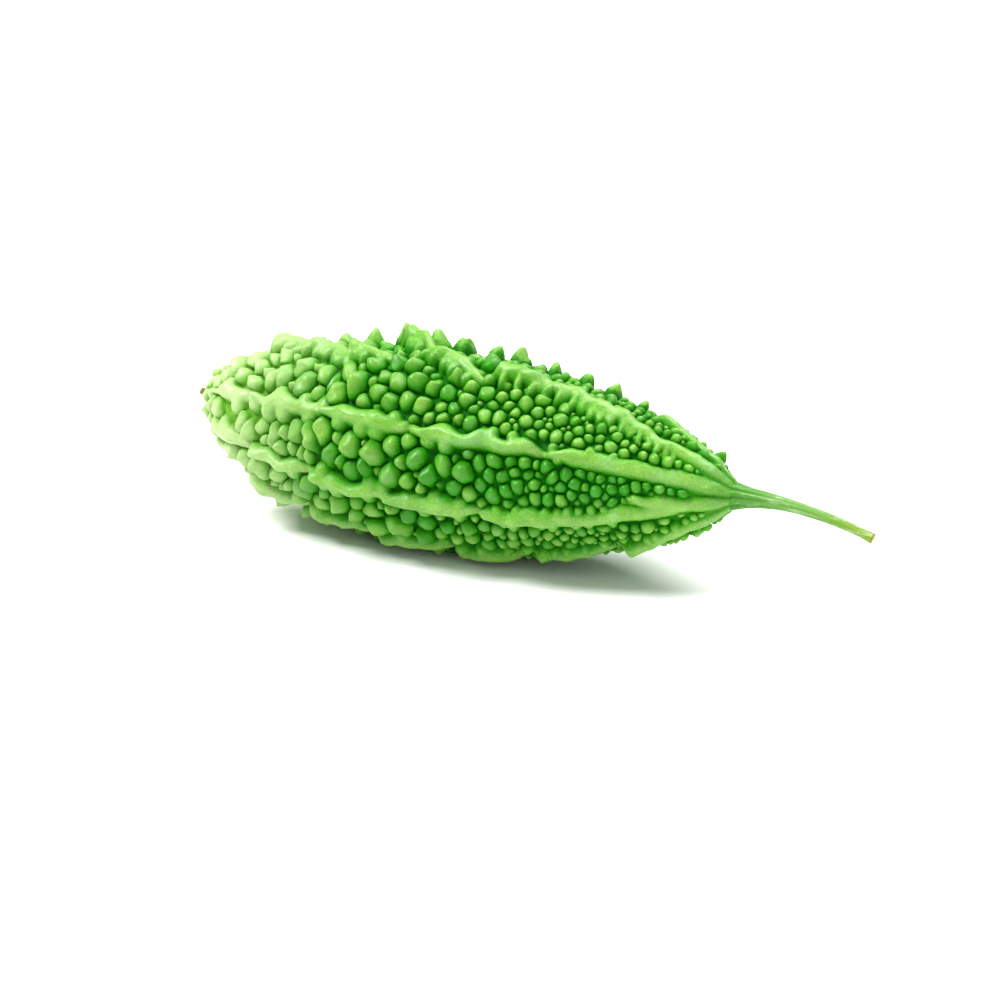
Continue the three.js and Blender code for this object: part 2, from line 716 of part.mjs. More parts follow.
/** How far an angle is up a rib, from 0 in a groove to 1 on a crest. */
function ribAt(angle) {
  const turns = STALK_RIBS.map((rib) => angle - radians(rib));
  const offs = turns.map((turn) => Math.abs(Math.atan2(Math.sin(turn), Math.cos(turn))));
  return Math.exp(-((Math.min(...offs) / STALK_RIB_WIDTH) ** 2));
}

/** The stalk: a tapering, ribbed rod bent along its centre line, with a slightly swollen end. */
function stalkGeometry() {
  const outline = [new THREE.Vector2(0, JOINT_GAP)];
  for (let i = 0; i <= STALK_STEPS; i++) {
    const x = JOINT_GAP + ((STALK_LENGTH - JOINT_GAP) * i) / STALK_STEPS;
    outline.push(new THREE.Vector2(stalkRadius(x), x));
  }
  outline.push(new THREE.Vector2(0, STALK_LENGTH));
  const geometry = new THREE.LatheGeometry(outline, STALK_SIDES);
  const position = geometry.getAttribute("position");
  const vertex = new THREE.Vector3();
  for (let i = 0; i < position.count; i++) {
    vertex.fromBufferAttribute(position, i);
    const x = vertex.y;
    const angle = Math.atan2(vertex.z, vertex.x);
    const radius = Math.hypot(vertex.x, vertex.z) * (1 + STALK_RIB_DEPTH * (ribAt(angle) - 1));
    const side = radius * Math.cos(angle);
    const up = radius * Math.sin(angle);
    // each ring stands square to the bent centre line, except at the joint
    const lean = Math.atan(STALK_START_SLOPE - 2 * STALK_DROOP * x) * rise(0, STALK_ROOT_RADIUS, x);
    position.setXYZ(
      i,
      BODY_LENGTH + x - up * Math.sin(lean),
      -STALK_SIDE_BEND * x * x - side,
      centreLift(1) + STALK_START_SLOPE * x - STALK_DROOP * x * x + up * Math.cos(lean),
    );
  }
  return geometry;
}

/** The dry flower scar: a small shrunken button on the beak. */
function scarGeometry() {
  const outline = [[0, 0], [0.8, 0], [1, 0.35], [0.7, 0.7], [0.75, 1], [0, 0.8]];
  const points = outline.map(([r, z]) => new THREE.Vector2(r * SCAR_RADIUS, z * SCAR_LENGTH));
  return new THREE.LatheGeometry(points, SCAR_SIDES);
}

// ---- The gourd --------------------------------------------------------------------

const wasm = await Module();
wasm.setup();

/** A geometry as a manifold solid. */
function solidOf(geometry) {
  const bare = geometry.clone();
  bare.deleteAttribute("normal");
  bare.deleteAttribute("uv");
  const merged = mergeVertices(bare);
  return new wasm.Manifold(
    new wasm.Mesh({
      numProp: 3,
      vertProperties: merged.attributes.position.array,
      triVerts: merged.index.array,
    }),
  );
}

/** A manifold solid as a geometry. */
function geometryOf(solid) {
  const mesh = solid.getMesh();
  const geometry = new THREE.BufferGeometry();
  geometry.setAttribute("position", new THREE.BufferAttribute(mesh.vertProperties, 3));
  geometry.setIndex(new THREE.BufferAttribute(mesh.triVerts, 1));
  geometry.computeVertexNormals();
  return geometry;
}

/** The fruit with its lowest warts pressed flat, and the height of that flat. */
function restedFruit() {
  const whole = fruitGeometry();
  whole.computeBoundingBox();
  const floor = whole.boundingBox.min.z + REST_TRIM;
  const slab = new THREE.BoxGeometry(2 * BODY_LENGTH, 4 * BODY_RADIUS, BODY_RADIUS);
  slab.translate(BODY_LENGTH / 2, 0, floor - BODY_RADIUS / 2);
  return { geometry: geometryOf(solidOf(whole).subtract(solidOf(slab))), floor };
}

const skinGreen = new THREE.MeshStandardMaterial({ color: 0x5fae3c, roughness: 0.42, metalness: 0 });
const stalkGreen = new THREE.MeshStandardMaterial({ color: 0x86bd58, roughness: 0.55, metalness: 0 });
const dryBrown = new THREE.MeshStandardMaterial({ color: 0x8a7a5a, roughness: 0.85, metalness: 0 });

const { geometry: fruitShape, floor } = restedFruit();
const fruit = new THREE.Mesh(fruitShape, skinGreen);
fruit.name = "fruit";
const stalk = new THREE.Mesh(stalkGeometry(), stalkGreen);
stalk.name = "stalk";
const scar = new THREE.Mesh(scarGeometry(), dryBrown);
scar.name = "blossom_scar";
scar.position.copy(beak.point).addScaledVector(beak.normal, beak.height + JOINT_GAP);
scar.quaternion.setFromUnitVectors(new THREE.Vector3(0, 1, 0), beak.normal);

// The origin is under the middle of the gourd, on what it lies on.
const gourd = new THREE.Group();
gourd.add(fruit, stalk, scar);
const box = new THREE.Box3().setFromObject(gourd, true);
gourd.position.set(-(box.min.x + box.max.x) / 2, -(box.min.y + box.max.y) / 2, -floor);

export default gourd;
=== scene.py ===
"""A bitter gourd lying on its side, dressed for rendering.

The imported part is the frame. Three pieces stand for its three nodes: the fruit with its
ridges, lobes and packed warts, the ribbed stalk, and the dry scar at the blossom tip. The
rule for the fruit is the part's own, in millimetres along the fruit's axis with 0 at the
blossom tip: the same draws put the same warts in the same places. This script then swells
each wart into a bulb, fills the room left with finer warts, and blends ridges, neck and
stalk. Meshes are in metres, in the part's frame.
"""

from __future__ import annotations

import logging
import math
from dataclasses import dataclass, field, replace
from enum import Enum
from typing import Any, Mapping, Sequence

import bmesh
import bpy
import numpy as np
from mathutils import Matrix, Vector

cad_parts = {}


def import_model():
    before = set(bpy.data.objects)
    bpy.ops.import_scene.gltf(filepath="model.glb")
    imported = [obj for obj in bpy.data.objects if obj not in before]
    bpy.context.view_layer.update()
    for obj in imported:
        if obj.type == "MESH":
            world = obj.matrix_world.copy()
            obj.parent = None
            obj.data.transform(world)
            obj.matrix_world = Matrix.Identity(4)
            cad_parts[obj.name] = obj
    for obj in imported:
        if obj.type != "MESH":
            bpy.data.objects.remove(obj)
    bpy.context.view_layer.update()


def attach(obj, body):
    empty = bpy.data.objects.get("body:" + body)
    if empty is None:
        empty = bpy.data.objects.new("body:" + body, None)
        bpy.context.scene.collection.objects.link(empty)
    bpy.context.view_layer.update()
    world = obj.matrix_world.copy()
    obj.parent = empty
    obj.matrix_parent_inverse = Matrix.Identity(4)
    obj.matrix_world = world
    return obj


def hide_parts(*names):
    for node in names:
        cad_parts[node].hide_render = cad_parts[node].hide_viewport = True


log = logging.getLogger("bitter_gourd")

MM = 0.001
# Where the middle of the blossom tip's plane stands in the part's frame, in millimetres.
SHIFT = np.array([-77.2488, -0.4482, 21.1645])
# Keeps a divisor off 0.
LEAST = 1e-6


class Slot(Enum):
    """The record's material slots."""

    SKIN = "skin"
    STALK = "stalk"
    SCAR = "dry_scar"


# ---- Small sums -------------------------------------------------------------------


def rise(a: float, b: float, value: Any) -> Any:
    """Rises smoothly from 0 at a to 1 at b."""
    share = np.clip((value - a) / (b - a), 0.0, 1.0)
    return share * share * (3.0 - 2.0 * share)


def up_from(low: float, share: Any) -> Any:
    """Goes from low to 1 as a share goes from 0 to 1."""
    return low + (1.0 - low) * share


def dot(a: np.ndarray, b: np.ndarray) -> np.ndarray:
    """The dot products of rows of vectors."""
    return np.einsum("...i,...i->...", a, b)


def linear(red: int, green: int, blue: int) -> tuple[float, float, float, float]:
    """A display colour from 0 to 255 as a linear one.

    Args:
        red: The red share.
        green: The green share.
        blue: The blue share.

    Returns:
        The linear colour with an alpha of 1.
    """

    def one(value: int) -> float:
        """One of the three shares."""
        share = value / 255.0
        return share / 12.92 if share <= 0.04045 else ((share + 0.055) / 1.055) ** 2.4

    return one(red), one(green), one(blue), 1.0


class Draws:
    """A repeatable draw of numbers from 0 to 1, the same as the part's own."""

    factor = 48271
    modulus = 2147483647

    def __init__(self, seed: int) -> None:
        """Starts the draw from a seed."""
        self.state = seed

    def __call__(self) -> float:
        """The next number."""
        self.state = self.state * self.factor % self.modulus
        return self.state / self.modulus

    def between(self, low: float, high: float) -> float:
        """The next number, spread from low to high."""
        return low + (high - low) * self()

    def table(self, rows: int, columns: int) -> np.ndarray:
        """The next rows * columns numbers, row by row."""
        return np.array([self() for _ in range(rows * columns)]).reshape(rows, columns)


@dataclass(frozen=True)
class Lumps:
    """Soft irregularity in space: a few waves with seeded directions.

    Attributes:
        seed: What the directions are drawn from.
        wavelength: The length of the middle wave, in millimetres.
        waves: How many waves are added up.
        shortest: The shortest wave, against the middle one.
        longest: The longest wave, against the middle one.
    """

    seed: int
    wavelength: float
    waves: int = 14
    shortest: float = 0.6
    longest: float = 1.5

    def at(self, points: np.ndarray) -> np.ndarray:
        """Adds up the waves.

        Args:
            points: Places, in millimetres.

        Returns:
            The height at each place, from about -1 to 1.
        """
        draw = Draws(self.seed)
        total = np.zeros(points.shape[:-1])
        for _ in range(self.waves):
            up = 2.0 * draw() - 1.0
            turn = 2.0 * math.pi * draw()
            flat = math.sqrt(1.0 - up * up)
            length = self.wavelength * draw.between(self.shortest, self.longest)
            pace = 2.0 * math.pi / length
            direction = np.array([flat * math.cos(turn), flat * math.sin(turn), up]) * pace
            total += np.sin(points @ direction + 2.0 * math.pi * draw())
        return total / math.sqrt(self.waves)


# ---- The skin under the warts -------------------------------------------------------


@dataclass(frozen=True)
class Places:
    """Places on the skin: arrays of one shape, with a last axis of 3 for the vectors."""

    t: np.ndarray
    angle: np.ndarray
    point: np.ndarray
    normal: np.ndarray
    along: np.ndarray
    across: np.ndarray


@dataclass(frozen=True)
class Body:
    """The spindle of skin, along X from the blossom tip at 0 to the stalk joint at 1.

    Attributes:
        length: From the tip to the joint, in millimetres.
        radius: The spindle's largest radius.
        tip_power: How blunt the blossom end is.
        neck_power: How blunt the stalk end is.
        neck_radius: Its radius where the stalk takes over.
        tip_rise: How far the blossom tip bends up.
        tip_bend_power: How close to the tip it bends.
        half_relief: Half the height of the warts, where widths are measured.
        steps: Steps of the table of its profile.
        nudge: How far to either side of a place its slope is measured.
    """

    length: float = 127.0
    radius: float = 19.9
    tip_power: float = 0.55
    neck_power: float = 0.62
    neck_radius: float = 2.3
    tip_rise: float = 4.5
    tip_bend_power: float = 8.0
    half_relief: float = 1.0
    steps: int = 800
    nudge: float = 1e-4

    def skin_radius(self, t: Any) -> Any:
        """The skin's radius: a spindle that runs into the neck.

        Args:
            t: Places along the fruit.

        Returns:
            The radius at each place.
        """
        widest = self.tip_power / (self.tip_power + self.neck_power)
        shape = widest**self.tip_power * (1.0 - widest) ** self.neck_power
        spindle = self.radius * t**self.tip_power * (1.0 - t) ** self.neck_power / shape
        return np.hypot(spindle, self.neck_radius * t * t)

    def working_radius(self, t: Any) -> Any:
        """The radius halfway up the relief, at which widths round the fruit are measured."""
        return self.skin_radius(t) + self.half_relief

    def centre_lift(self, t: Any) -> Any:
        """The height of the centre line at t."""
        return self.tip_rise * (1.0 - t) ** self.tip_bend_power

    def profile(self) -> tuple[np.ndarray, np.ndarray]:
        """Measures the skin's profile, in steps that are finest at both ends.

        Returns:
            A table of t and the length of the profile from the tip to there.
        """
        t = (1.0 - np.cos(math.pi * np.arange(self.steps + 1) / self.steps)) / 2.0
        steps = np.hypot(np.diff(t) * self.length, np.diff(self.skin_radius(t)))
        return t, np.concatenate([[0.0], np.cumsum(steps)])

    @property
    def whole_arc(self) -> float:
        """The length of the whole profile."""
        return self.profile()[1][-1]

    def t_at(self, arc: np.ndarray) -> np.ndarray:
        """Finds places by their distance from the tip, measured on the skin.

        Args:
            arc: Lengths along the profile.

        Returns:
            The t at each length.
        """
        t, arcs = self.profile()
        row = np.maximum(np.searchsorted(arcs, arc), 1)
        share = (arc - arcs[row - 1]) / (arcs[row] - arcs[row - 1])
        return t[row - 1] + (t[row] - t[row - 1]) * share

    def at(self, t: Any, angle: Any) -> Places:
        """The skin at t and angle.

        Args:
            t: Places along the fruit.
            angle: Angles above the horizontal on the -Y side, in radians.

        Returns:
            The points, outward normals and directions along and across, in millimetres.
        """
        t, angle = np.broadcast_arrays(np.asarray(t, float), np.asarray(angle, float))
        before = np.maximum(t - self.nudge, 0.0)
        after = np.minimum(t + self.nudge, 1.0)
        rim = self.skin_radius(after) - self.skin_radius(before)
        slope = rim / ((after - before) * self.length)
        tilt = np.hypot(1.0, slope)
        y, z = -np.cos(angle), np.sin(angle)
        radius = self.skin_radius(t)
        zero = np.zeros_like(t)
        return Places(
            t=t,
            angle=angle,
            point=np.stack([t * self.length, radius * y, radius * z + self.centre_lift(t)], -1),
            normal=np.stack([-slope / tilt, y / tilt, z / tilt], -1),
            along=np.stack([1.0 / tilt, slope * y / tilt, slope * z / tilt], -1),
            across=np.stack([zero, z, -y], -1),
        )


BODY = Body()


# ---- Ridges -------------------------------------------------------------------------


@dataclass(frozen=True)
class Dome:
    """A cross-section of a ridge or a wart.

    Attributes:
        power: How flat its top is.
        root: How steep its sides are: the lower, the steeper.
    """

    power: float
    root: float

    def at(self, off: np.ndarray) -> np.ndarray:
        """The share of the height at a share of the half-width from the middle."""
        return np.maximum(1.0 - np.minimum(off, 1.0) ** self.power, 0.0) ** self.root


@dataclass(frozen=True)
class Ridge:
    """A row of raised segments, each with a horn at the blossom side and a pointed tail.

    Attributes:
        start: Where the ridge starts along the fruit.
        end: Where it ends.
        angles: Its crest's angles in degrees, evenly spaced from start to end.
        width: Half its width.
        tail: The height of the tails.
        horn: The height of the horns.
        fall: The length over which a horn drops to its tail.
        tip: How blunt a horn starts, from 0 for pointed to 1.
        lobed: The share of its lobes that grew.
        hang: How much larger the lower ones are.
        horns: Where the horns stand.
        gap: Between a tail and the next horn, as a share of the fruit's length.
        horn_face: The length of a horn's steep side.
        face_width: How much slower its width drops there than its height.
        horn_tip: How round its tip is.
        horn_length: From its tip to where the ridge is at its full width.
        horn_swell: How much wider the ridge is at a blunt horn.
        horn_spread: The length over which it is.
        tail_point: The length of a tail's pointed end.
        narrowest: The width at a point, against the full one.
        tip_width: The width at the blossom tip, against mid-fruit.
        tip_height: The height at the blossom tip, against mid-fruit.
        neck_loss: How much of the height is lost on the way to the neck.
        reaching_neck: How many ridges reach the neck.
        crowding: How much of the neck they cover.
    """

    start: float
    end: float
    angles: tuple[float, ...]
    width: float
    tail: float
    horn: float
    fall: float
    tip: float
    lobed: float
    hang: float
    horns: tuple[float, ...]

    gap = 0.016
    horn_face = 1.7
    face_width = 2.5
    horn_tip = 1.4
    horn_length = 4.5
    horn_swell = 0.22
    horn_spread = 2.6
    tail_point = 7.0
    narrowest = 0.4
    tip_width = 0.45
    tip_height = 0.35
    neck_loss = 0.74
    reaching_neck = 8
    crowding = 0.9333

    @classmethod
    def scale(cls, t: Any) -> Any:
        """How tall ridges are at t, against mid-fruit: low at both ends."""
        risen = up_from(cls.tip_height, rise(0.0, 0.14, t))
        return risen * (1.0 - cls.neck_loss * rise(0.62, 1.0, t))

    def angle_at(self, t: Any) -> Any:
        """Follows the crest's angles, smoothly from one to the next.

        Args:
            t: Places along the fruit.

        Returns:
            The crest's angle at each place, in radians.
        """
        spans = len(self.angles) - 1
        place = np.clip((t - self.start) / (self.end - self.start), 0.0, 1.0) * spans
        knot = np.minimum(np.floor(place), spans - 1).astype(int)
        share = rise(0.0, 1.0, place - knot) if spans > 1 else place
        angles = np.asarray(self.angles)
        return np.radians(angles[knot] + (angles[knot + 1] - angles[knot]) * share)

    def section(self, t: Any) -> tuple[np.ndarray, np.ndarray]:
        """Measures the crest, one segment after another.

        Args:
            t: Places along the fruit.

        Returns:
            The crest's height at each place, 0 in the gaps, and its half-width.
        """
        t = np.asarray(t, float)
        height = np.zeros_like(t)
        point = np.zeros_like(t)
        for i, horn in enumerate(self.horns):
            end = self.end if i == len(self.horns) - 1 else self.horns[i + 1] - self.gap
            past = (t - horn) * BODY.length
            left = np.full_like(t, self.tail_point) if end == 1 else (end - t) * BODY.length
            face = (past / self.horn_face) ** 2
            taper = np.sqrt(np.clip(left / self.tail_point, 0.0, 1.0))
            beyond = np.hypot(np.maximum(past, 0.0), self.horn_tip) - self.horn_tip
            crest = (self.tail + (self.horn - self.tail) * np.exp(-beyond / self.fall)) * taper
            crest = np.where(past > 0, crest, self.horn * np.exp(-face))
            taper = np.where(past > 0, taper, np.exp(-face / self.face_width))
            opening = up_from(self.tip, rise(0.0, self.horn_length, past))
            swell = self.horn_swell * self.tip * np.exp(-((past / self.horn_spread) ** 2))
            taper = taper * opening + swell
            taller = (crest > height) & (left > 0)
            height = np.where(taller, crest, height)
            point = np.where(taller, taper, point)
        room = self.crowding * math.pi * BODY.skin_radius(t) / self.reaching_neck
        width = np.minimum(self.width * up_from(self.tip_width, rise(0.0, 0.12, t)), room)
        return height * self.scale(t), width * up_from(self.narrowest, point)

    def across(self, t: Any, angle: Any) -> Any:
        """The signed distance across the skin from the crest."""
        turn = angle - self.angle_at(t)
        return np.arctan2(np.sin(turn), np.cos(turn)) * BODY.working_radius(t)


RIDGES = (
    # front, above the middle
    Ridge(0, 1, (34, 33, 29, 30, 31), 2.3, 3.0, 3.7, 5.5, 0.15, 0.5, 1.1,
          (0.05, 0.164, 0.31, 0.49, 0.727)),
    # front, near the top: slanting pieces, the last of them long
    Ridge(0.03, 0.13, (112, 104), 1.9, 2.6, 3.2, 4, 0.7, 0.6, 1, (0.04,)),
    Ridge(0.132, 0.32, (101, 87, 78), 2.4, 3.6, 5.0, 5, 1, 0.7, 1.2, (0.132,)),
    Ridge(0.3, 0.4, (82, 78), 1.9, 2.6, 4.4, 3.5, 0.8, 0.5, 1.2, (0.305,)),
    Ridge(0.377, 0.57, (106, 86, 71), 2.3, 3.2, 5.3, 6, 1, 0.7, 1.3, (0.377,)),
    Ridge(0.588, 1, (80, 80, 75, 67, 66), 2.3, 3.1, 4.7, 6.5, 1, 0.8, 1.45, (0.588,)),
    # along the top, past the last of the cones
    Ridge(0.85, 1, (108, 106), 2.1, 2.6, 3.4, 3, 0.7, 0.6, 1, (0.855,)),
    # back
    Ridge(0, 1, (186, 176, 162, 158, 156), 2.2, 2.9, 4.6, 5, 0.5, 0.6, 1,
          (0.06, 0.15, 0.29, 0.43, 0.55, 0.69, 0.83)),
    Ridge(0, 1, (222, 214, 205, 203, 203), 2.2, 2.9, 4.4, 5.5, 0.5, 0.6, 1,
          (0.05, 0.13, 0.24, 0.37, 0.5, 0.62, 0.78)),
    Ridge(0, 1, (262, 256, 250, 247, 248), 2.2, 2.8, 3.6, 5.5, 0.5, 0.6, 1,
          (0.08, 0.19, 0.33, 0.44, 0.61, 0.75)),
    # front, below the middle
    Ridge(0, 0.82, (316, 314, 308, 302, 304), 2.2, 2.8, 3.7, 5, 0.5, 0.6, 1,
          (0.05, 0.14, 0.27, 0.4, 0.55, 0.69)),
    Ridge(0.84, 1, (305, 312), 2.2, 2.8, 6.4, 5, 0.7, 0.6, 1, (0.84,)),
    Ridge(0, 0.94, (352, 352, 346, 343, 350), 2.2, 2.9, 3.6, 5, 0.4, 0.6, 1,
          (0.06, 0.17, 0.3, 0.44, 0.62)),
    Ridge(0.868, 1, (361, 353), 2.1, 2.8, 3.4, 5, 0.3, 0.6, 1, (0.868,)),
)  # fmt: skip
NECK_ANGLES = (31.0, 66.0, 106.0, 156.0, 203.0, 248.0, 312.0, 353.0)
# The wart at the blossom tip, which carries the scar.
BEAK_RADIUS = 2.1
BEAK_HEIGHT = 1.7


# ---- Warts --------------------------------------------------------------------------


@dataclass
class Wart:
    """A wart or lobe on the skin: its place, directions, half-sizes and height."""

    t: float
    angle: float
    point: np.ndarray
    normal: np.ndarray
    across: np.ndarray
    along: np.ndarray
    half_across: float
    half_along: float
    height: float
    fused: bool = False
    fixed: bool = False
    cone: bool = False


@dataclass(frozen=True)
class WartClass:
    """Warts of one size: half-widths at mid-fruit, tries, and the room they may leave."""

    least: float
    most: float
    tries: int
    snug: float


@dataclass(frozen=True)
class WartForm:
    """The form of the separate warts. Near the blossom end they are fingers lying across.

    Attributes:
        fingers_from: Where they start to be fingers, on the way to the tip.
        fingers_at: Where they are fingers altogether.
        shorter: How much less of its length a finger has.
        wider: How much wider than long a plain wart may be.
        reach: How much wider still a finger may be.
        height: The least height, in half-lengths.
        height_spread: How much more a height may be.
        finger_height: How much taller a finger is.
        turned: The range over which warts are turned, in radians.
        tip_scale: Their size at the tip, against mid-fruit.
        neck_loss: How much smaller they are towards the stalk.
    """

    fingers_from: float = 0.45
    fingers_at: float = 0.28
    shorter: float = 0.22
    wider: float = 0.15
    reach: float = 0.95
    height: float = 1.15
    height_spread: float = 0.3
    finger_height: float = 0.12
    turned: float = 0.9
    tip_scale: float = 0.65
    neck_loss: float = 0.5

    def scale(self, t: Any) -> Any:
        """How wide warts are at t, against mid-fruit: small at the tip and the stalk."""
        risen = up_from(self.tip_scale, rise(0.0, 0.12, t))
        return risen * (1.0 - self.neck_loss * rise(0.4, 0.85, t))

    def finger(self, t: Any) -> Any:
        """How much of a finger a wart at t is, from 0 to 1."""
        return rise(self.fingers_from, self.fingers_at, t)


WART = WartForm()


def make_wart(
    t: float, angle: float, halves: tuple[float, float], height: float, turn: float, **kind: bool
) -> Wart:
    """A wart on the skin.

    Args:
        t: Its place along the fruit.
        angle: Its place round the fruit, in radians.
        halves: Its half-sizes across and along.
        height: Its height.
        turn: How far it is turned on the skin, in radians.
        **kind: Whether it is fused to a ridge, of a fixed size, or a cone.

    Returns:
        The wart.
    """
    place = BODY.at(t, angle)
    across = place.across * math.cos(turn) + place.along * math.sin(turn)
    along = place.along * math.cos(turn) - place.across * math.sin(turn)
    return Wart(t, angle, place.point, place.normal, across, along, *halves, height, **kind)


class Packing:
    """Warts packed on the skin, as a list and as arrays for measuring room.

    Attributes:
        far: No two warts this far apart can touch, in millimetres.
        tiny: Closer than this, two places are the same.
        clearance: Between neighbours, as a share of their two half-widths.
        foot: Where warts may start, as a share of a ridge's half-width.
        least_ridge: A lower ridge doesn't keep warts away.
        beside_ridge: Beside a ridge, as a share of a wart's half-width.
        press: How hard neighbours press together when they have swollen.
        growth: The most that a wart swells.
    """

    far = 9.0
    tiny = 1e-9
    clearance = 0.98
    foot = 0.85
    least_ridge = 0.5
    beside_ridge = 0.72
    press = 1.06
    growth = 1.25

    def __init__(self, capacity: int = 9000) -> None:
        """Starts with no warts.

        Args:
            capacity: The most warts that there may be.
        """
        self.warts: list[Wart] = []
        self.point = np.zeros((capacity, 3))
        self.across = np.zeros((capacity, 3))
        self.along = np.zeros((capacity, 3))

    def add(self, wart: Wart) -> None:
        """Adds a wart.

        Args:
            wart: The wart.
        """
        i = len(self.warts)
        self.warts.append(wart)
        self.point[i] = wart.point
        self.across[i] = wart.across / wart.half_across
        self.along[i] = wart.along / wart.half_along

    def gaps(
        self, point: np.ndarray, across: np.ndarray, along: np.ndarray
    ) -> tuple[np.ndarray, np.ndarray, np.ndarray]:
        """Measures to the warts near a place.

        Args:
            point: The place.
            across: A would-be wart's direction across, over its half-width.
            along: Its direction along, over its half-length.

        Returns:
            The distances, and both warts' half-widths in that direction.
        """
        offset = self.point[: len(self.warts)] - point
        near = np.flatnonzero(dot(offset, offset) <= self.far**2)
        offset = offset[near]
        length = np.sqrt(dot(offset, offset))
        if len(near) and length.min() < self.tiny:
            keep = length > self.tiny
            near, offset, length = near[keep], offset[keep], length[keep]
        mine = np.hypot(offset @ across, offset @ along)
        other = np.hypot(dot(offset, self.across[near]), dot(offset, self.along[near]))
        mine, other = np.maximum(mine, self.tiny), np.maximum(other, self.tiny)
        return length, length / mine, length / other

    @classmethod
    def ridge_room(cls, t: np.ndarray, angle: np.ndarray, half: np.ndarray) -> np.ndarray:
        """Measures to the ridges.

        Args:
            t: The places of would-be warts along the fruit.
            angle: Their places round it, in radians.
            half: Their half-widths.

        Returns:
            The room between each wart and the nearest ridge, negative if they meet.
        """
        room = np.full_like(t, np.inf)
        for ridge in RIDGES:
            height, width = ridge.section(t)
            off = np.abs(ridge.across(t, angle)) - (width * cls.foot + half * cls.beside_ridge)
            room = np.where(height < cls.least_ridge, room, np.minimum(room, off))
        return room

    def fill(
        self, size: WartClass, draw: Draws, least: float, end: float, coarser: float = 0.0
    ) -> None:
        """Puts warts of one class into the room left.

        Args:
            size: The class.
            draw: The numbers drawn, seven for each try.
            least: The least half-width that is kept.
            end: No warts past this place along the fruit.
            coarser: How much more the least is towards the blossom end.
        """
        drawn = draw.table(size.tries, 7)
        t = BODY.t_at(drawn[:, 0] * BODY.whole_arc)
        angle = drawn[:, 2] * 2.0 * math.pi
        finger = WART.finger(t)
        half = (size.least + (size.most - size.least) * drawn[:, 3]) * WART.scale(t)
        half = half * (1.0 - WART.shorter * finger)
        wide = half * (1.0 + drawn[:, 4] * (WART.wider + WART.reach * finger))
        tall = half * (WART.height + WART.height_spread * drawn[:, 5])
        tall = tall * (1.0 + WART.finger_height * finger)
        turn = (drawn[:, 6] - 0.5) * WART.turned
        room = self.ridge_room(t, angle, wide)
        fits = (drawn[:, 1] * BODY.radius < BODY.skin_radius(t)) & (t <= end)
        fits &= half >= least * (1.0 + coarser * finger)
        skin = BODY.at(t, angle)
        cos, sin = np.cos(turn)[:, None], np.sin(turn)[:, None]
        across = (skin.across * cos + skin.along * sin) / wide[:, None]
        along = (skin.along * cos - skin.across * sin) / half[:, None]
        for i in np.flatnonzero(fits & (room >= 0.0)):
            length, mine, other = self.gaps(skin.point[i], across[i], along[i])
            left = np.min(length - (mine + other) * self.clearance, initial=room[i])
            if 0.0 <= left <= size.snug:
                self.add(make_wart(t[i], angle[i], (wide[i], half[i]), tall[i], turn[i]))

    def swell(self, first: int = 0) -> None:
        """Lets warts swell, one after another, until they press on each other.

        Args:
            first: The number of the first wart that swells.
        """
        for i, wart in enumerate(self.warts[first:], first):
            if wart.fused or wart.fixed:
                continue
            length, mine, other = self.gaps(self.point[i], self.across[i], self.along[i])
            room = np.min((length * self.press - other) / mine, initial=self.growth)
            growth = max(float(room), 1.0)
            wart.half_across *= growth
            wart.half_along *= growth
            wart.height *= growth
            self.across[i] /= growth
            self.along[i] /= growth


